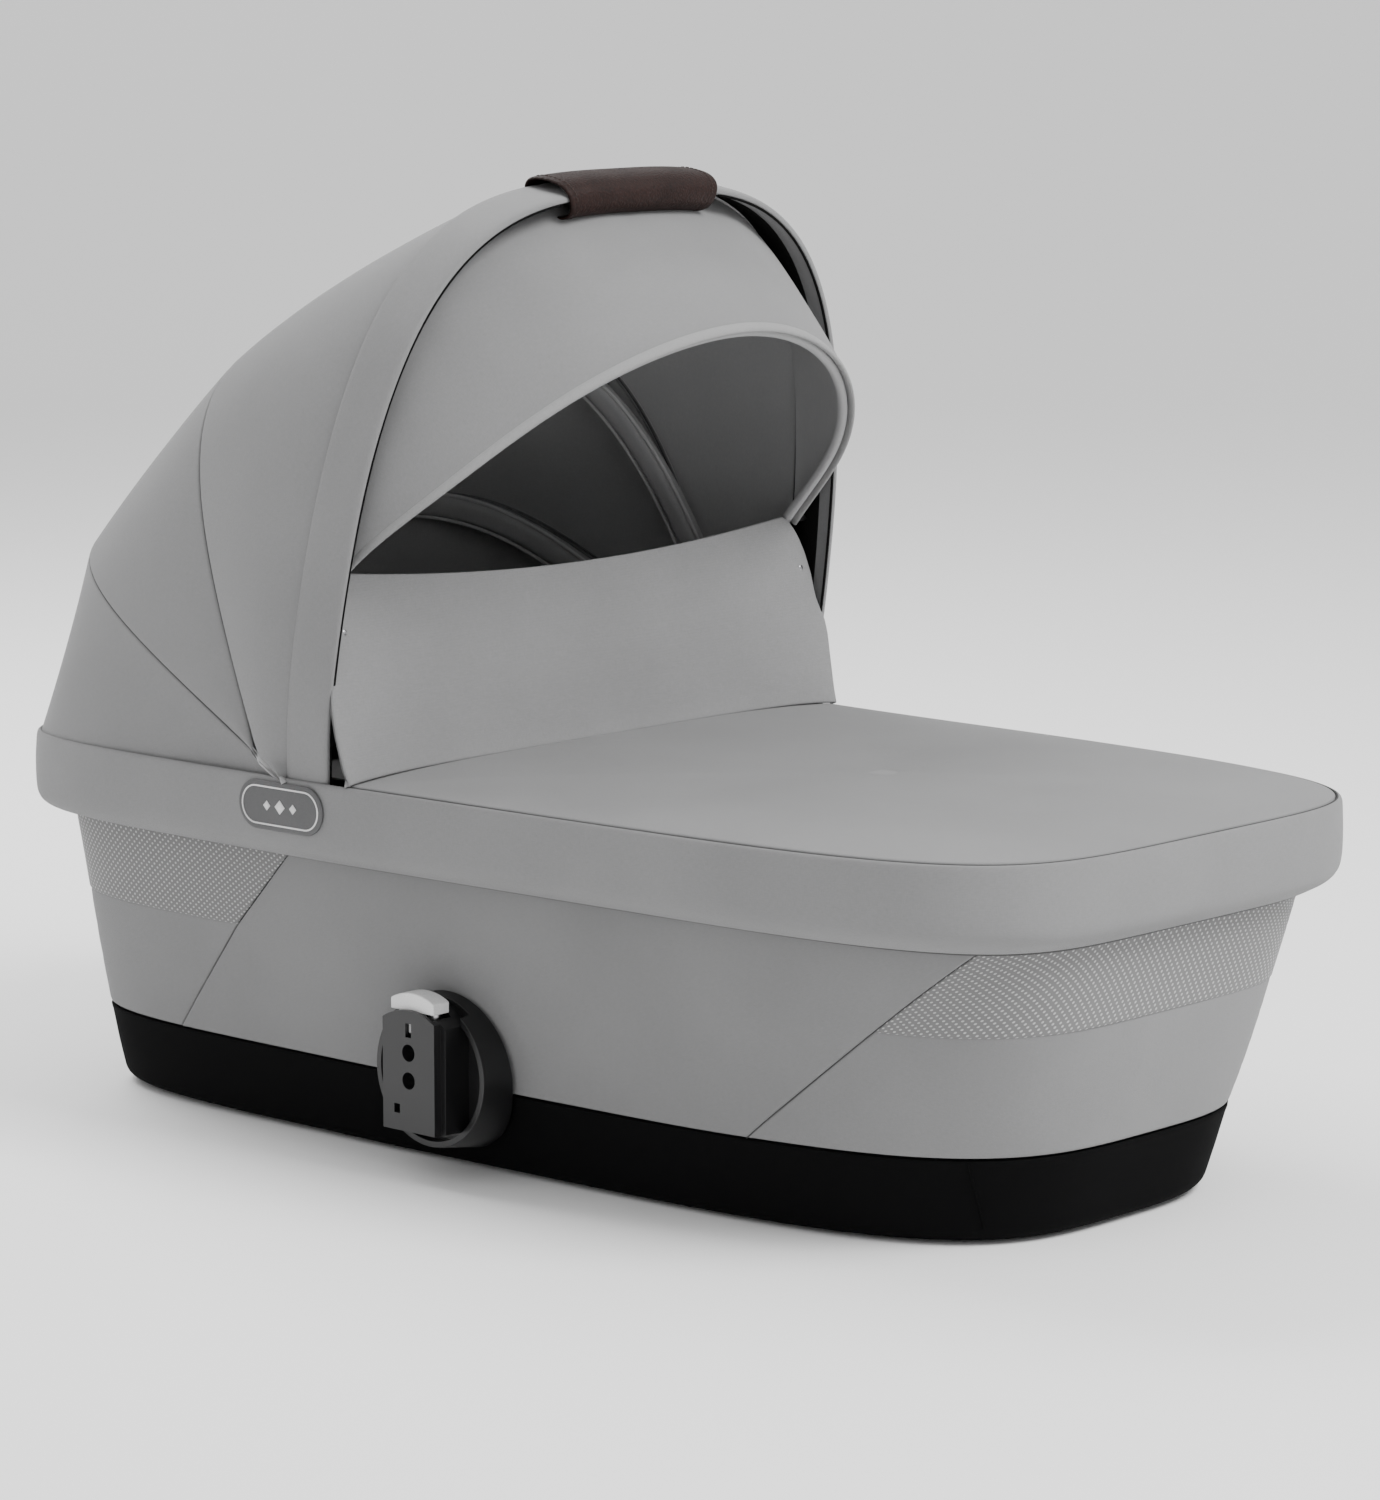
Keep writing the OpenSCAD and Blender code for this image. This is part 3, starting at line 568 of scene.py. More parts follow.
# ---- Tub: side fabric, end mesh and the black base ----
# Slanted seams on the tub's sides, as (z, x) from the base to the rim
HEAD_SEAM = np.array([(50, -294), (62, -284), (137, -221), (191, -166), (210, -148)]) * MM
FOOT_SEAM = np.array([(50, 200), (67, 220), (140, 311), (191, 374), (210, 396)]) * MM
COVER_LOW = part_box("side_cover")[0].z
COVER_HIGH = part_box("side_cover")[1].z
VENT_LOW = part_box("head_vent")[0].z
VENT_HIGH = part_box("head_vent")[1].z


def seam_angle(seam, z, side):
    return angle_at(float(np.interp(z, seam[:, 0], seam[:, 1])), z, side)


def seam_line(seam, side, out):
    """Points along a seam, from the base to the rim."""
    return np.array([tub(seam_angle(seam, z, side), z, out) for z in np.linspace(COVER_LOW, VENT_HIGH, 40)])


def tub_panel(start, end, low, high, out, step):
    """Grid on the tub's side from angle start(z) to angle end(z), evenly spaced round each row."""
    length = runs(tub(np.linspace(start(low), end(low), 400), low)[None], 1)[0, -1]
    shares = stations(length, step)
    rows = []
    for z in low + (high - low) * stations(high - low, 7 * MM):
        fine = np.linspace(start(z), end(z), 3000)
        run = along(tub(fine, z))
        rows.append(tub(np.interp(shares * run[-1], run, fine), z, out))
    return np.array(rows)


def sewn_panel(name, grid, puff, seed):
    """Fabric panel with turned-in edges. It stands puff proud in its middle."""
    grid = oriented(grid)
    bulge = 1.0
    for axis in (0, 1):
        run = runs(grid, axis)
        share = np.clip(run / np.take(run, [-1], axis), 0, 1)
        bulge = bulge * np.abs(np.sin(math.pi * share)) ** 0.5
    grid = grid + normals(grid) * (bulge * puff)[..., None]
    grid = ruffled(grid, 0.5 * MM, (9, 9, 16), seed)
    return cloth(name, rolled(grid, SEAM_R), 1.6 * MM, [fabric, lining])


def head_span():
    """The two edges of a panel round the head end, as angles at a height."""
    return (lambda z: seam_angle(HEAD_SEAM, z, 1),
            lambda z: 2 * math.pi + seam_angle(HEAD_SEAM, z, -1))


def foot_span():
    """The two edges of a panel round the foot end."""
    return lambda z: seam_angle(FOOT_SEAM, z, -1), lambda z: seam_angle(FOOT_SEAM, z, 1)


def make_side_fabric():
    """Panels along both sides, and round both ends below the vents."""
    panels = []
    for side, name in ((1, "left"), (-1, "right")):
        grid = tub_panel(lambda z: seam_angle(HEAD_SEAM, z, side), lambda z: seam_angle(FOOT_SEAM, z, side),
                         COVER_LOW, COVER_HIGH, 0.3 * MM, 12 * MM)
        panels.append(sewn_panel("side_fabric_" + name, grid, 1.2 * MM, side * 3.0))
    for name, span, seed in (("head_end_fabric", head_span(), 7.0), ("foot_end_fabric", foot_span(), 11.0)):
        grid = tub_panel(*span, COVER_LOW, VENT_LOW + 1.5 * MM, 0.2 * MM, 9 * MM)
        panels.append(sewn_panel(name, grid, 1.0 * MM, seed))
    for panel in panels:
        finished(panel, "root", "grey_fabric")
    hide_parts("side_cover")


def make_vent(name, span, node):
    """Spacer mesh round one end, its knots raised."""
    grid = oriented(tub_panel(*span, VENT_LOW, VENT_HIGH + 2 * MM, 0.7 * MM, 6 * MM))
    grid = ruffled(grid, 0.5 * MM, 12, 5.0)
    shear = grid[:, 0, 0] * np.sign(grid[:, 5, 0] - grid[:, 0, 0])
    vent = cloth(name, rolled(grid, 1.4 * MM), 1.6 * MM, [mesh_fabric, lining], shear=shear)
    return finished(vent, "root", "grey_mesh", node)


def make_side_seams():
    """Thread lying in the valleys between the side panels."""
    paths = [seam_line(seam, side, -1.3 * MM) for seam in (HEAD_SEAM, FOOT_SEAM) for side in (1, -1)]
    finished(tubes("side_seam_thread", paths, 0.7 * MM, thread, sides=6), "root", "grey_fabric")


def make_base():
    """Black base cover: flat underneath, round at its lower edge, with a turned-in upper edge."""
    radius = 9 * MM
    phi = even_angles(lambda a: tub(a, 0.03), 0, 2 * math.pi, 8 * MM)[:-1]
    rows = [tub(phi, TRAY_LOW, -radius) * [k, k, 1] for k in (0.02, 0.25, 0.5, 0.75, 0.9, 0.97)]
    for turn in np.linspace(0, math.pi / 2, 9):
        rows.append(tub(phi, TRAY_LOW + radius * (1 - math.cos(turn)), radius * (math.sin(turn) - 1)))
    for z in np.linspace(TRAY_LOW + 14 * MM, TRAY_TOP - 6 * MM, 8):
        rows.append(tub(phi, z, 0.5 * MM * min(1, (z - 0.01) / 0.02)))
    for z, out in ((4, 0.7), (2.4, 0.8), (1.2, 0.6), (0.5, 0.1), (0.2, -0.6)):
        rows.append(tub(phi, TRAY_TOP - z * MM, out * MM))
    grid = oriented(np.array(rows), True)
    grid[8:] = ruffled(grid[8:], 0.35 * MM, (10, 10, 25), 2.0, True)
    base = cloth("base_cover", grid, 2.4 * MM, [base_fabric], closed=True, pole=True)
    finished(base, "root", "black_plastic", "base_tray")


def make_base_seams():
    """Upright seams at the foot corners of the base."""
    heights = np.linspace(TRAY_LOW + 10 * MM, TRAY_TOP - 2 * MM, 16)
    paths = [np.array([tub(angle_at(0.345, z, side), z, 0.6 * MM) for z in heights]) for side in (1, -1)]
    finished(tubes("base_seam_thread", paths, 0.7 * MM, base_fabric, sides=6), "root", "black_plastic")


# ---- Rim band and apron ----
def chaikin(points, times):
    """Rounds the corners of a closed outline."""
    for _ in range(times):
        ahead = np.roll(points, -1, 0)
        points = np.stack([points * 0.75 + ahead * 0.25, points * 0.25 + ahead * 0.75], 1)
        points = points.reshape(-1, points.shape[-1])
    return points


# Section of the padded band: height, share of the way from the tub's side to the rim's outline, and
# distance outwards, all in millimetres except the share. First up the outside, then down the inside.
BAND = np.array([(192.0, 0.07, 2.2), (195.5, 0.40, 1.8), (199.5, 0.74, 1.2), (205, 0.93, 0.6),
                 (212, 1.0, 0.2), (222, 1.0, 0.4), (233, 1.0, 0.4), (243, 1.0, 0.1), (247.8, 1.0, -0.3),
                 (249.8, 1.0, -1.6), (249.6, 1.0, -3.6), (244, 1.0, -3.6), (232, 1.0, -3.0),
                 (212, 0.97, -3.0), (201, 0.62, -1.5), (195, 0.10, -0.4)])


def make_rim_band():
    """Padded band: its section, rounded at the corners, carried once round the rim."""
    phi = even_angles(lambda a: rim(a, 0.25), 0, 2 * math.pi, 8 * MM)[:-1]
    section = chaikin(BAND, 2)
    z = section[:, 0] * MM
    outer = rim(phi[:, None], z[None])
    inner = tub(phi[:, None], np.minimum(z, 0.206)[None])
    inner[..., 2] = z
    grid = inner + (outer - inner) * section[None, :, 1:2]
    plan = outer * [1, 1, 0]
    ahead = np.roll(plan, -1, 0) - np.roll(plan, 1, 0)
    sideways = np.stack([ahead[..., 1], -ahead[..., 0], np.zeros(ahead.shape[:2])], -1)
    sideways /= np.linalg.norm(sideways, axis=-1, keepdims=True)
    soft = soft_noise(grid, (7, 7, 14), 4.0) * 0.7 + soft_noise(grid, (22, 22, 40), 9.0) * 0.25
    calm = np.clip((RIM_TOP - 4 * MM - z) / (12 * MM), 0, 1)[None]
    grid = grid + sideways * (section[None, :, 2] * MM + soft * calm * MM)[..., None]
    band = lofted("rim_band", [grid], fabric, loop=True)
    finished(band, "root", "grey_fabric", "hood_skirt", "apron_skirt")


def make_rim_seams():
    """Seam line round the top of the band, and the edge binding under it."""
    phi = even_angles(lambda a: rim(a, 0.25), 0, 2 * math.pi, 6 * MM)[:-1]
    ahead = phi[np.cos(phi) * RIM_LENGTH > APRON_BACK]
    ahead = np.unique(np.where(ahead > math.pi, ahead - 2 * math.pi, ahead))
    line = rim(ahead, RIM_TOP - 1.5 * MM, 2.9 * MM)
    finished(tubes("rim_seam_thread", [line], 0.7 * MM, thread, sides=6), "root", "grey_fabric")
    low = tub(phi, RIM_LOW + 0.6 * MM, 2.6 * MM)
    binding = tubes("band_binding", [low], 1.2 * MM, dark_piping, closed=True, sides=6)
    finished(binding, "root", "grey_fabric")


APRON_INSET = 3.8 * MM
APRON_CROWN = 8 * MM


def apron_height(x, y, half):
    """Height of the apron over the rim. It is crowned, less so at its back edge."""
    share = np.clip(np.abs(x) / (RIM_LENGTH - APRON_INSET), 0, 1)
    back = np.where(x < 0, 1 - 0.3 * x / APRON_BACK, 1)
    aside = np.clip(np.abs(y) / np.maximum(half, 0.001 * MM), 0, 1)
    return APRON_CROWN * (1 - share ** 4) * back * (1 - aside ** 4)


def make_apron():
    """Apron cover, laid out in rings from its middle to its edge."""
    def outer(a):
        return rim(a, RIM_TOP, APRON_INSET)

    fine = np.linspace(0, math.pi, 6000)
    corner = np.interp(-APRON_BACK, -outer(fine)[:, 0], fine)
    bend = even_angles(outer, -corner, corner, 6 * MM)
    edge = outer(bend)
    across = np.linspace(edge[-1], edge[0], 70)[1:-1]
    border = np.concatenate([edge, across])
    middle = np.array([0.17, 0, RIM_TOP])
    under = np.array([0.17, 0, 0.0])
    reach = np.array([0.0, 0.4, 1.0, 1.8, 2.8, 4.2, 6.5, 10, 15, 22, 30, 40, 52, 66, 82, 100, 120, 142,
                      165, 190, 215]) * MM
    shares = 1 - reach[::-1] / 0.222
    grid = middle + (border - middle)[None] * shares[:, None, None]
    half_fine = outer(fine)
    half = np.interp(-grid[..., 0], -half_fine[:, 0], half_fine[:, 1])
    grid[..., 2] = RIM_TOP - 0.3 * MM + apron_height(grid[..., 0], grid[..., 1], half)
    grid = oriented(grid, True, under)
    grid = ruffled(grid, 0.6 * MM, (6, 9, 6), 3.0, True)
    grid = rolled(grid, 2.0 * MM, rows=(0, 1), cols=(0, 0), closed=True)
    apron = cloth("apron_cover", grid, 2.6 * MM, [fabric, lining], closed=True, inside=under, pole=True)
    finished(apron, "root", "grey_fabric", "apron_top")


# ---- Hood ----
HOOD_FOOT = 11 * MM
HOOD_INSIDE = np.array([-0.13, 0, 0.28])
CANOPY_LOW = {**RIM_ARCH, "angle": math.radians(2.4), "reach": 317 * MM, "half": 233 * MM, "power": 6.8}


def hood_line(a, shares, r=0.0):
    """Line along an arch of the hood. Near the pivots it stays forward of the rear seam."""
    line = arch_point(a, shares, HOOD_FOOT, r)
    if a["angle"] > REAR_SEAM["angle"]:
        rear = REAR_SEAM["x"] - (line[..., 2] - REAR_SEAM["z"]) / math.tan(REAR_SEAM["angle"])
        line[..., 0] = np.maximum(line[..., 0], rear + 1.5 * MM)
    return line


def canopy(name, a, b, sag, seed, edges=(1, 1)):
    """Sheet from arch a to arch b. It sags, or bulges, between them and its seam edges turn in."""
    step = 9 * MM
    length = float(np.linalg.norm(np.array(crown(a)) - np.array(crown(b))))
    over = along(arch_point(a, np.linspace(0, 1, 300), HOOD_FOOT))[-1]
    shares = arch_shares(a, HOOD_FOOT, int(over / step))
    rows = []
    for u in stations(length, step):
        dip = -sag * 4 * u * (1 - u)
        pa, pb = hood_line(a, shares, dip), hood_line(b, shares, dip)
        rows.append(pa + (pb - pa) * u)
    grid = oriented(np.array(rows), inside=HOOD_INSIDE)
    grid = ruffled(grid, 0.9 * MM, (7, 7, 7), seed)
    grid = rolled(grid, SEAM_R, rows=edges, cols=(0, 0))
    return cloth(name, grid, 2.3 * MM, [fabric, lining], inside=HOOD_INSIDE)


def make_canopies():
    """Three gores, each a sheet between the bows, or the rim, that its edges are sewn to."""
    under = shifted({**FRONT_ARCH, "reach": 390.5 * MM, "half": 238.6 * MM}, 2 * MM + BOW_MID - BOW_HALF)
    rear = canopy("hood_rear_fabric", CANOPY_LOW, REAR_SEAM, 1 * MM, 1.0)
    mid = canopy("hood_mid_fabric", REAR_SEAM, MID_SEAM, -2 * MM, 2.0)
    front = canopy("hood_front_fabric", MID_SEAM, under, -6 * MM, 3.0, (1, 0))
    gores = ((rear, "root", "rear_bow", RIM_ARCH, 0.07, "rear", 0.145, 0.10),
             (mid, "rear_bow", "mid_bow", REAR_SEAM, 0.17, "mid", 0.183, 0.125),
             (front, "mid_bow", "front_bow", MID_SEAM, 0.14, "front", 0.214, 0.15))
    for piece, behind, ahead, seam, reach, node, wide, area in gores:
        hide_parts("canopy_" + node + "_panel")
        way = Vector((math.sin(seam["angle"]), 0, math.cos(seam["angle"])))
        crown(seam)
        crown(seam) + way * reach
        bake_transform(piece)


def make_hood_seams():
    """Thread in the valleys between the gores."""
    for name, a, body in (("rear_seam_thread", REAR_SEAM, "rear_bow"),
                          ("mid_seam_thread", MID_SEAM, "mid_bow")):
        path = hood_line(a, arch_shares(a, HOOD_FOOT, 120), -1.2 * MM)
        finished(tubes(name, [path], 0.8 * MM, thread, sides=6), body, "grey_fabric")


def rounded(half_wide, half_tall, power, count=36):
    """Closed section with soft corners, as (across, up) pairs."""
    a = np.linspace(0, 2 * math.pi, count, endpoint=False)
    x, y = superellipse(a, power)
    return np.stack([x * half_wide, y * half_tall], 1)


def bar(a, foot, section, count, out):
    """Grid of a section carried along an arch: across is along the arch's d, up is along r."""
    shares = arch_shares(a, foot, count)[:, None]
    return arch_point(a, shares, foot, section[None, :, 1] + out, section[None, :, 0])


GRIP_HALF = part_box("handle_sleeve")[1].y
COVER_DEEP = 5.6 * MM         # depth of the bow's fabric sleeve; the leather grip is deeper


def make_bow_cover():
    """Fabric sleeve of the front bow, with dark piping at its front edge, which is partly painted shadow of
    the gap between the bow and the visor, and black inside.
    """
    section = rounded(BOW_HALF, COVER_DEEP / 2, 3.6, 48) + [BOW_MID, 0]
    grid = bar(FRONT_ARCH, 9 * MM, section, 170, out=-COVER_DEEP / 2)
    grid = ruffled(grid, 0.35 * MM, (14, 14, 14), 6.0, True)
    finished(lofted("bow_cover_fabric", [grid], fabric), "front_bow", "grey_fabric", "front_bow_cover")
    shares = arch_shares(FRONT_ARCH, 9 * MM, 160)
    # Black piping down the bow's front edge: partly a black binding, partly painted shadow of the gap
    # between the bow and the visor.
    front = arch_point(FRONT_ARCH, shares, 9 * MM, -5.2 * MM, BOW_MID + BOW_HALF - 1 * MM)
    legs = [front[front[:, 1] > GRIP_HALF], front[front[:, 1] < -GRIP_HALF]]
    finished(tubes("bow_piping_painted_gap_shadow", legs, 0.9 * MM, facing), "front_bow", "grey_fabric")
    ahead = 10 * MM - 6 * MM * np.sin(math.pi * shares)
    path = np.array([(0, -4.8), (0.05, -6.0), (0.5, -6.4), (0.95, -6.2), (1, -4.8)])
    place = BOW_MID - 17 * MM + (ahead + 17 * MM)[None] * path[:, :1]
    strip = arch_point(FRONT_ARCH, shares[None], 9 * MM, path[:, 1:] * MM, place)
    finished(cloth("bow_facing", strip, 0.8 * MM, [facing], inside=np.array([-0.6, 0, 1.5])),
             "front_bow", "dark_lining")


def across_ring(ring, x, z, faces):
    """Grid of a ring round a line across the hood at x and z, with its faces at those y."""
    return np.array([np.stack([x + ring[:, 0], np.full(len(ring), y), z + ring[:, 1]], 1) for y in faces])


def make_bow_strip():
    """The front bow's flat strip inside its sleeve, with an eye on each pivot pin."""
    section = rounded(14 * MM, 1.2 * MM, 4, 16) + [BOW_MID, 0]
    strip = bar(FRONT_ARCH, 12 * MM, section, 120, out=-2.8 * MM)
    ring = circle(13 * MM, 28)
    eyes = [across_ring(ring, PIVOT.x, PIVOT.z, side * np.array([231.8, 229.4]) * MM) for side in (1, -1)]
    finished(lofted("front_bow_strip", [strip], black_plastic), "front_bow", "black_plastic", "front_bow")
    finished(lofted("front_bow_eyes", eyes, black_plastic), "front_bow", "black_plastic")


def make_grip():
    """Leather grip round the top of the front bow, sewn at both ends."""
    lo = math.acos((GRIP_HALF / FRONT_ARCH["half"]) ** (FRONT_ARCH["power"] / 2)) / math.pi
    section = rounded(BOW_HALF + 2.6 * MM, (GRIP_DEEP + 12 * MM) / 2, 2.5, 64)
    section = section + [BOW_MID + 0.5 * MM, 2.2 * MM - GRIP_DEEP / 2]
    rows = (lo + (1 - 2 * lo) * stations(2 * GRIP_HALF, 3 * MM))[:, None]
    grid = arch_point(FRONT_ARCH, rows, 1e-6, section[None, :, 1], section[None, :, 0])
    middle = arch_point(FRONT_ARCH, 0.5, 0.01, -GRIP_DEEP / 2, BOW_MID)
    grid = oriented(grid, True, middle)
    grid = ruffled(grid, 0.5 * MM, (30, 16, 30), 8.0, True)
    grid = rolled(grid, 1.6 * MM, rows=(1, 1), cols=(0, 0), closed=True)
    finished(cloth("leather_grip", grid, 1.9 * MM, [brown], closed=True, inside=middle),
             "front_bow", "brown_leather", "handle_sleeve")
    for name, end in (("left", lo), ("right", 1 - lo)):
        share = end + (0.5 - end) * 9 * MM / GRIP_HALF
        loop = arch_point(FRONT_ARCH, share, 1e-6, section[:, 1], section[:, 0])
        loop = loop + (loop - loop.mean(0)) * 0.006
        finished(stitches("grip_stitches_" + name, loop, brown_thread, 2.6 * MM, 1.4 * MM, 0.35 * MM),
                 "front_bow", "brown_leather")


def make_tunnels():
    """Lining tunnels that the two inner bows run in, with a welt down each side."""
    for name, a, node, web in (("rear_tunnel", REAR_BOW, "rear_bow", 15 * MM),
                               ("mid_tunnel", MID_BOW, "mid_bow", 10 * MM)):
        shares = arch_shares(a, 12 * MM, 110)[:, None]
        section = rounded(9.5 * MM, 1.0, 3.0, 32)
        rise = 3 * MM + (web - 3 * MM) * np.abs(2 * shares - 1) ** 2
        top, low = rise, -7 * MM
        r = (top + low) / 2 + (top - low) / 2 * section[None, :, 1]
        narrow = 1 - 0.25 * np.clip(section[None, :, 1], 0, 1)
        grid = arch_point(a, shares, 12 * MM, r, section[None, :, 0] * narrow)
        finished(lofted(name, [grid], lining), node, "dark_lining")
        welts = [arch_point(a, shares[:, 0], 12 * MM, -4.5 * MM, side * 10.2 * MM) for side in (1, -1)]
        finished(tubes(name + "_welts", welts, 1.3 * MM, lining_piping), node, "dark_lining")


# ---- Visor ----
VISOR_FLARE = np.array([-25, 7, 0]) * MM     # how far the edge's lower ends reach into the front bow
VISOR_FOOT = 146 * MM         # how far up the front bow the visor's cloth begins
VISOR_PIN = (-99 * MM, 379 * MM)              # x and z of the hinge pins


def visor_edge(shares, foot, r=0.0, d=0.0):
    """Line along the visor's front edge. Its lower ends turn out and back into the bow."""
    line = arch_point(VISOR_FRONT, shares, foot, r, d)
    up = (line[..., 2:] - VISOR_FRONT["z"]) / (30 * MM)
    side = np.sign(line[..., 1:2])
    return line + VISOR_FLARE * np.concatenate([side * side, side, side * side], -1) * np.exp(-up * up * 0.3)


def make_visor_cloth():
    """Cloth from inside the front bow to the visor's bound front edge."""
    back_shares = arch_shares(FRONT_ARCH, VISOR_FOOT, 110)
    front_shares = arch_shares(VISOR_FRONT, 8 * MM, 110)
    rows = []
    for u in stations(0.14, 6 * MM):
        bulge = 4 * MM * 4 * u * (1 - u)
        back = arch_point(FRONT_ARCH, back_shares, VISOR_FOOT, -8 * MM + bulge * (1 - u), -15 * MM)
        rows.append(back + (visor_edge(front_shares, 8 * MM, bulge) - back) * u)
    grid = oriented(np.array(rows), inside=HOOD_INSIDE)
    share = runs(grid, 0) / runs(grid, 0)[-1]
    crease = soft_noise(grid, (14, 34, 14), 2.0) * 2.2 * MM * np.clip(4 * share * (1 - share), 0, 1)
    grid = grid + normals(grid) * (crease * np.clip(1.2 - share, 0, 1))[..., None]
    visor = cloth("visor_cloth", grid, 1.8 * MM, [fabric, lining], inside=HOOD_INSIDE)
    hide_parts("visor_panel")
    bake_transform(visor)


def make_visor_edge():
    """Binding along the visor's front edge, and the channel inside it that holds the wire."""
    shares = arch_shares(VISOR_FRONT, 5 * MM, 130)[:, None]
    for name, section, out, material, slot in (
            ("visor_binding", rounded(4.0 * MM, 2.0 * MM, 2.6, 16), -0.8, piping, "grey_fabric"),
            ("visor_wire_channel", rounded(3.6 * MM, 3.4 * MM, 2.2, 16) - [2.5 * MM, 0], -6.0, lining,
             "dark_lining"),
            ("visor_steel_wire", rounded(2.4 * MM, 2.4 * MM, 2, 12) - [2.5 * MM, 0], -6.0, steel, "steel")):
        grid = visor_edge(shares, 5 * MM, section[None, :, 1] + out * MM, section[None, :, 0])
        piece = finished(lofted(name, [grid], material), "visor", slot)
    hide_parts("visor_wire")
    ring = circle(2 * MM, 16)
    pins = [across_ring(ring, VISOR_PIN[0], VISOR_PIN[1], side * np.array([221, 234]) * MM)
            for side in (1, -1)]
    finished(lofted("visor_hinge_pins", pins, black_plastic), "front_bow", "steel", "visor_pins")


# ---- Wind flap ----
FLAP_LEAN = math.radians(12)
FLAP_HINGE = np.array([-72, 0, 256]) * MM
# Half-width at each height up the flap: wide in front of the bow, then narrower between its legs
FLAP_PROFILE = np.array([(0, 236), (10, 237.5), (30, 239), (45, 239.5), (54, 238.5), (60, 236.5),
                         (66, 233.5), (72, 231.5), (88, 230), (102, 227), (114, 222.5), (123, 217),
                         (129, 209)]) * MM
# How far the cloth hangs behind the hinge's leaning plane at each height
FLAP_BOW = np.array([(0, 0.5), (10, 2), (30, 2.3), (55, 1.6), (70, 1), (86, 0.6), (129, 0.4)]) * MM
FLAP_INSIDE = np.array([-0.6, 0, 0.3])
STUD_ACROSS = 220 * MM        # place of each stud from the middle, and up the flap
STUD_UP = 92 * MM


def flap_point(across, height, forward):
    """Point on the flap's leaning plane."""
    height = np.asarray(height)
    x = FLAP_HINGE[0] - math.sin(FLAP_LEAN) * height + math.cos(FLAP_LEAN) * forward
    z = FLAP_HINGE[2] + math.cos(FLAP_LEAN) * height + math.sin(FLAP_LEAN) * forward
    return np.stack(np.broadcast_arrays(x, across, z), -1)


def flap_grid():
    """Front face of the flap. Its upper edge sags between its corners, and its lower ones drop."""
    tall = FLAP_PROFILE[-1, 0]
    shares = stations(0.44, 8 * MM) * 2 - 1
    heights = (stations(tall, 4 * MM) * tall)[:, None]
    across = shares[None] * np.interp(heights, FLAP_PROFILE[:, 0], FLAP_PROFILE[:, 1])
    sag = 12 * MM * (1 - shares[None] ** 2) * (heights / tall) ** 3
    drop = 4.5 * MM * shares[None] ** 6 * (1 - heights / tall) ** 3
    back = np.interp(heights, FLAP_BOW[:, 0], FLAP_BOW[:, 1])
    return oriented(flap_point(across, heights - sag - drop, -back), inside=FLAP_INSIDE)


def swell(piece, voxel, pressure, cap):
    """Cloth simulation: the closed form is blown up like a stuffed cover. No point moves more than cap."""
    steps = 20
    scene = bpy.context.scene
    bpy.context.view_layer.objects.active = piece
    remesh = piece.modifiers.new("remesh", "REMESH")
    remesh.mode = "VOXEL"
    remesh.voxel_size = voxel
    bpy.ops.object.modifier_apply(modifier="remesh")
    rest = np.array([v.co for v in piece.data.vertices])
    blown = piece.modifiers.new("swell", "CLOTH")
    blown.settings.use_pressure = True
    blown.settings.uniform_pressure_force = pressure
    blown.settings.effector_weights.gravity = 0
    blown.settings.quality = 4
    blown.settings.tension_stiffness = 15
    blown.settings.compression_stiffness = 15
    blown.point_cache.frame_start, blown.point_cache.frame_end = 1, steps
    for step in range(1, steps + 1):
        scene.frame_set(step)
    graph = bpy.context.evaluated_depsgraph_get()
    moved = np.array([v.co for v in piece.evaluated_get(graph).data.vertices])
    piece.modifiers.remove(blown)
    scene.frame_set(1)
    shift = moved - rest
    size = np.linalg.norm(shift, axis=1, keepdims=True)
    shift *= np.minimum(1, cap / np.maximum(size, 1e-9))
    piece.data.vertices.foreach_set("co", (rest + shift).ravel())
    smooth = piece.modifiers.new("smooth", "SUBSURF")
    smooth.levels = smooth.render_levels = 1
    bpy.ops.object.modifier_apply(modifier="smooth")
    piece.data.polygons.foreach_set("use_smooth", [True] * len(piece.data.polygons))


def make_flap():
    """Padded wind flap with turned-in edges."""
    pad = cloth("wind_flap_pad", rolled(flap_grid(), 1.5 * MM), 5 * MM, [pad_fabric], inside=FLAP_INSIDE)
    finished(pad, "wind_flap", "grey_fabric", "wind_flap")


def make_studs():
    """Domed press studs near the flap's upper corners."""
    profile = np.array([(0.01, 1.5), (1.2, 1.3), (2.2, 0.9), (2.6, 0.5), (3.0, 0.5), (3.4, 0.2),
                        (3.3, -2.5)]) * MM
    grids = []
    turn = np.linspace(0, 2 * math.pi, 28, endpoint=False)
    for side in (-1, 1):
        across = side * STUD_ACROSS + profile[:, :1] * np.cos(turn)[None]
        height = STUD_UP + profile[:, :1] * np.sin(turn)[None]
        grids.append(flap_point(across, height, profile[:, 1:] - 1.6 * MM))
    finished(lofted("stud_caps", grids, chrome), "wind_flap", "chrome_stud", "flap_studs")


# ---- Inside the tub ----
def tub_loop(step):
    return even_angles(lambda a: tub(a, 0.1), 0, 2 * math.pi, step)[:-1]


def make_mattress():
    """Foam mattress in a cover, swollen between its edges."""
    low, high = (c.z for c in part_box("mattress"))
    phi = tub_loop(10 * MM)
    rows = [(0.3, low), (0.7, low), (1, low), (1, low + 5 * MM), (1, high - 9 * MM), (1, high - 4 * MM),
            (0.7, high - 4 * MM), (0.3, high - 4 * MM)]
    inset = (26, 26, 26, 19, 19, 26, 26, 26)
    grid = [tub(phi, z, -inwards * MM) * [share, share, 1] for (share, z), inwards in zip(rows, inset)]
    pad = lofted("mattress_pad", [np.array(grid)], quilt)
    swell(pad, 6 * MM, 4.0, 5 * MM)
    finished(pad, "root", "mattress", "mattress")


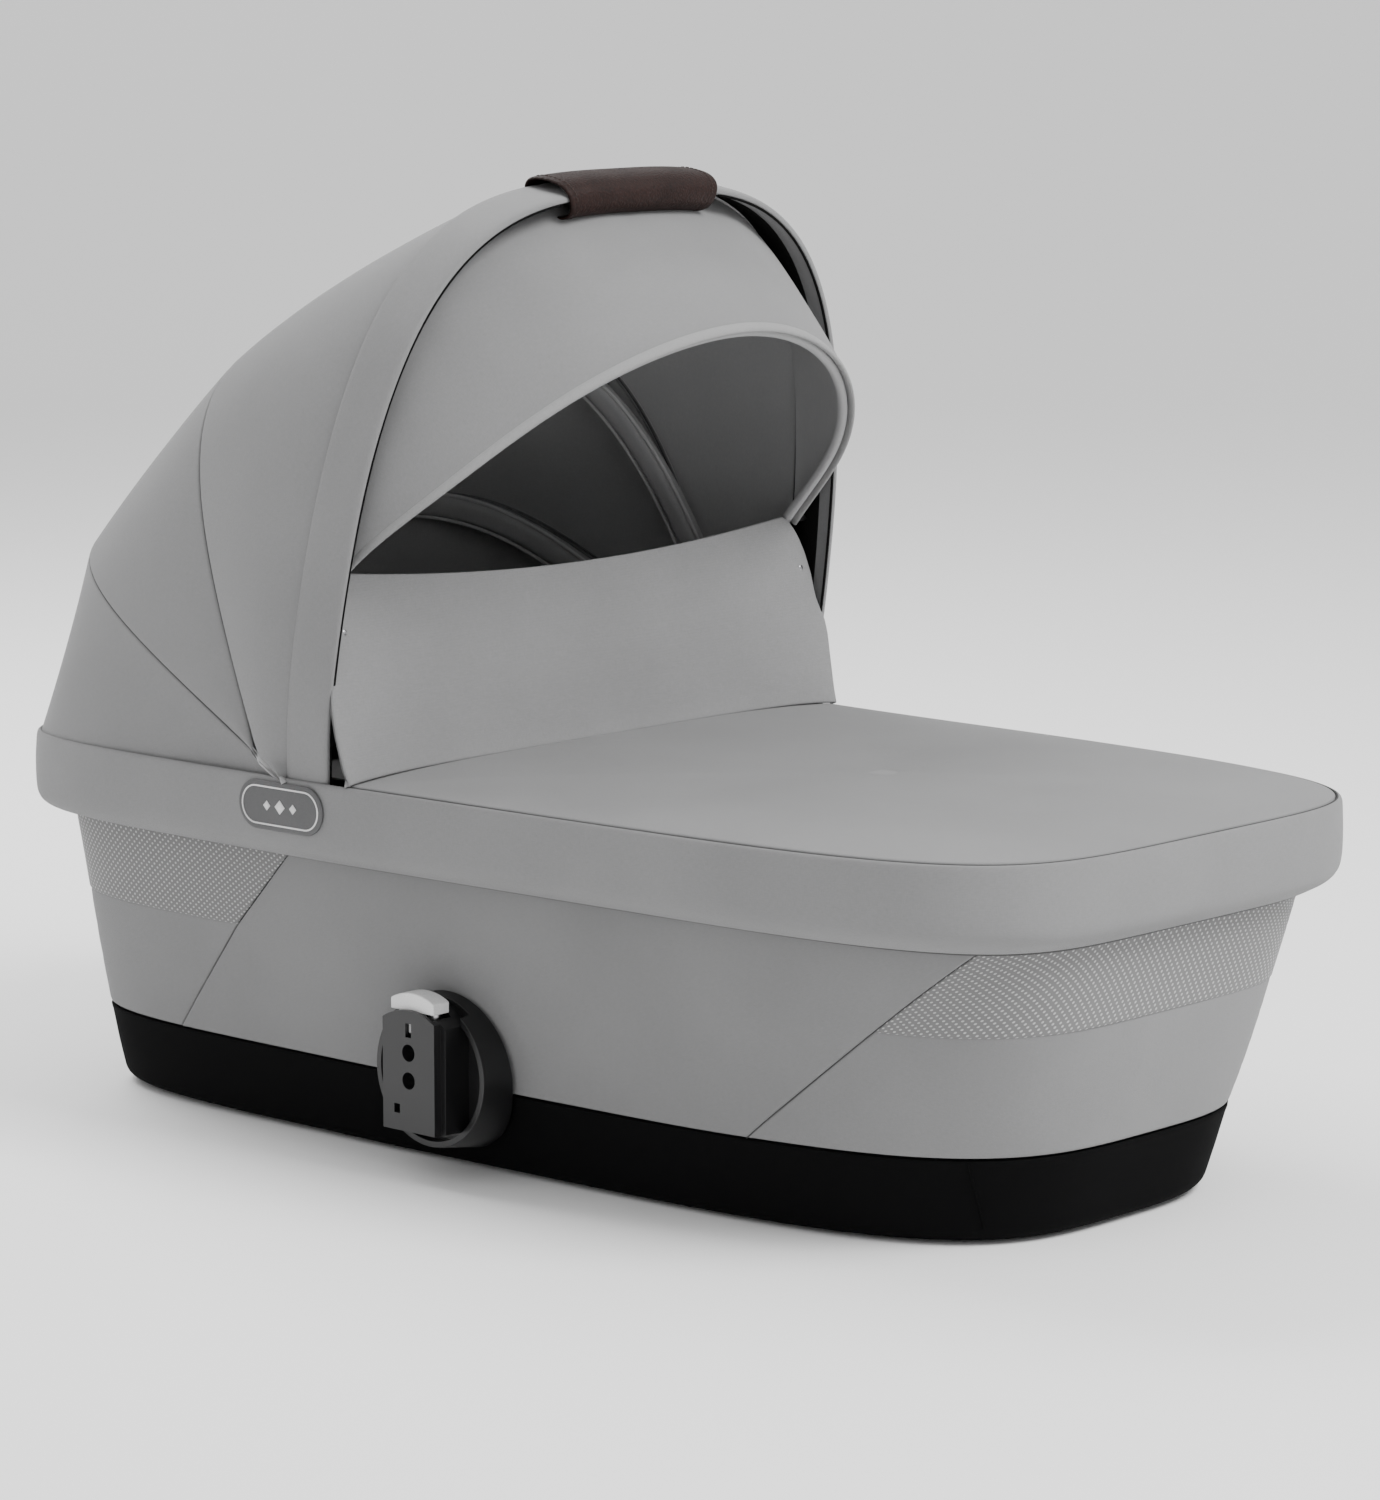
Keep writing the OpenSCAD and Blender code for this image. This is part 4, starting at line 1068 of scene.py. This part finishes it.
def make_liner():
    """Dark lining that hangs inside the tub in soft upright folds."""
    phi = tub_loop(8 * MM)
    z = np.concatenate([np.linspace(18, 190, 20), [197, 202, 205]]) * MM
    grid = oriented(tub(phi[None], z[:, None], -8.6 * MM), True)
    fold = (soft_noise(grid, (22, 22, 3), 6.0) - 1) * 0.7 * MM
    grid = grid + normals(grid, True) * fold[..., None]
    liner = cloth("tub_lining", grid, 1.2 * MM, [lining], closed=True)
    finished(liner, "root", "dark_lining", "inner_liner")


# ---- Badges, adapters and other hard parts ----
def pill(half_long, radius):
    """Outline with round ends."""
    a = np.linspace(-math.pi / 2, math.pi / 2, 20)
    right = np.stack([np.cos(a) * radius + half_long - radius, np.sin(a) * radius], 1)
    return np.concatenate([right, -right])


def make_badge(side, name):
    """Rubber badge with a light outline and a plain row of three diamonds."""
    low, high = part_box("badge_" + name)
    middle = (low + high) / 2
    half_long, radius = (high.x - low.x) / 2, (high.z - low.z) / 2
    face = min(abs(low.y), abs(high.y))

    def spot(outline, out):
        """Points of an outline on the badge's face, out proud of the rim."""
        return np.stack([middle.x + outline[:, 0], np.full(len(outline), side * (face + out)),
                         middle.z + outline[:, 1]], 1)

    def layer(inset, out):
        return spot(pill(half_long - inset, radius - inset), out)

    body = np.array([layer(inset * MM, out * MM) for inset, out in
                     ((0.6, 0), (0.1, 0.4), (0, 1.0), (0.2, 1.5), (0.8, 1.8), (1.5, 1.9))])
    finished(lofted("badge_body_" + name, [body], badge_rubber), "root", "badge_grey", "badge_" + name)
    rims = [np.array([layer(3.2 * MM, 1.7 * MM), layer(3.3 * MM, 2.2 * MM), layer(4.3 * MM, 2.2 * MM),
                      layer(4.4 * MM, 1.7 * MM)]).transpose(1, 0, 2)]
    finished(lofted("badge_outline_" + name, rims, badge_light, loop=True), "root", "badge_grey")
    marks = []
    for at in (-1, 0, 1):
        size = (4.6 if at == 0 else 3.2) * MM
        diamond = np.array([(1, 0), (0, 1), (-1, 0), (0, -1)]) * size + [at * 12 * MM, 0]
        marks.append(np.array([spot(diamond, 1.7 * MM), spot(diamond, 2.15 * MM)]))
    finished(lofted("badge_marks_" + name, marks, badge_light), "root", "badge_grey")


def moulding(node, width, material, body, slot):
    """A copy of a CAD node's shape with softly rounded edges, which stands for the node."""
    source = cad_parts[node].data
    verts = np.round(np.array([v.co for v in source.vertices]), 7)
    unique, index = np.unique(verts, axis=0, return_inverse=True)
    index = index.ravel()
    faces = [[int(index[v]) for v in p.vertices] for p in source.polygons]
    faces = [f for f in faces if len(set(f)) == len(f)]
    obj = new_object(node + "_moulding", unique, faces, [material])
    bm = bmesh.new()
    bm.from_mesh(obj.data)
    bmesh.ops.dissolve_limit(bm, angle_limit=math.radians(0.6), verts=bm.verts, edges=bm.edges)
    bm.to_mesh(obj.data)
    bm.free()
    bevel = obj.modifiers.new("edges", "BEVEL")
    bevel.width = width
    bevel.segments = 3
    bevel.limit_method = "ANGLE"
    bevel.angle_limit = math.radians(40)
    bevel.harden_normals = False
    obj.data.polygons.foreach_set("use_smooth", [True] * len(obj.data.polygons))
    obj.data.set_sharp_from_angle(angle=math.radians(35))
    return finished(obj, body, slot, node)


def make_adapters():
    """The round housing, the coupling plate and the release button on both sides."""
    for side in ("left", "right"):
        moulding("adapter_housing_" + side, 1.2 * MM, satin_black, "root", "black_plastic")
        moulding("adapter_plate_" + side, 0.7 * MM, satin_black, "root", "adapter_plastic")
        moulding("adapter_button_" + side, 0.8 * MM, white_plastic, "button_" + side, "white_plastic")


def finish_cad_nodes():
    """Materials for the CAD nodes that stay as they are."""
    looks = {
        black_plastic: "tub_shell rim_frame hood_hub_left hood_hub_right rear_bow mid_bow",
        steel: ("base_screws pivot_pin_left pivot_pin_right button_springs_left button_springs_right "
                "adapter_screws"),
        rubber: "base_feet",
        board: "base_board",
    }
    for material, nodes in looks.items():
        for node in nodes.split():
            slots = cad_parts[node].data.materials
            slots.clear()
            slots.append(material)


# ---- Floor and light ----
FLOOR_REACH = 5.0             # flat part of the floor, in metres, before it curves up into the backdrop
BACKDROP_BEND = 3.0


def make_floor():
    """Pale floor that curves up into a round backdrop."""
    look = Shader("pale_floor", roughness=0.9)
    cloud = look.noise(look.place(), 0.8)
    look.finish(look.ramp(cloud, (0.3, (0.93, 0.93, 0.93)), (0.7, (0.94, 0.94, 0.94))))
    bend = np.linspace(0, math.radians(80), 14)
    reach = np.concatenate([[0.001, 1, 2.5], FLOOR_REACH + BACKDROP_BEND * np.sin(bend)])[:, None]
    height = np.concatenate([[0, 0, 0], BACKDROP_BEND * (1 - np.cos(bend))])[:, None]
    turn = np.linspace(0, 2 * math.pi, 72, endpoint=False)[None]
    grid = np.stack(np.broadcast_arrays(reach * np.cos(turn), reach * np.sin(turn), height), -1)
    i, j = (g.ravel() for g in np.meshgrid(np.arange(len(grid) - 1), np.arange(72), indexing="ij"))
    faces = np.stack([i * 72 + j, (i + 1) * 72 + j, (i + 1) * 72 + (j + 1) % 72, i * 72 + (j + 1) % 72], 1)
    new_object("floor", grid.reshape(-1, 3), faces.tolist(), [look.material])


def area_light(name, place, target, size, power):
    light = bpy.data.lights.new(name, "AREA")
    light.shape = "RECTANGLE"
    light.size, light.size_y = size
    light.energy = power
    lamp = bpy.data.objects.new(name, light)
    bpy.context.scene.collection.objects.link(lamp)
    lamp.location = place
    lamp.rotation_mode = "QUATERNION"
    lamp.rotation_quaternion = (Vector(target) - Vector(place)).to_track_quat("-Z", "Y")


def make_light():
    """An even white sky, a soft key light over the head end and one in front."""
    world = bpy.data.worlds.new("studio")
    bpy.context.scene.world = world
    world.use_nodes = True
    world.node_tree.nodes["Background"].inputs["Color"].default_value = (1, 1, 1, 1)
    world.node_tree.nodes["Background"].inputs["Strength"].default_value = 0.95
    area_light("key", (-2.0, 0.2, 2.3), (0, 0, 0.3), (1.8, 1.8), 78)
    area_light("front", (2.2, 0.4, 2.6), (-0.1, 0, 0.4), (1.4, 1.4), 118)


make_side_fabric()
make_vent("head_mesh", head_span(), "head_vent")
make_vent("foot_mesh", foot_span(), "foot_vent")
make_side_seams()
make_base()
make_base_seams()
make_rim_band()
make_rim_seams()
make_apron()
make_canopies()
make_hood_seams()
make_bow_cover()
make_bow_strip()
make_grip()
make_tunnels()
make_visor_cloth()
make_visor_edge()
make_flap()
make_studs()
make_mattress()
make_liner()
make_badge(1, "left")
make_badge(-1, "right")
make_adapters()
finish_cad_nodes()
make_floor()
make_light()
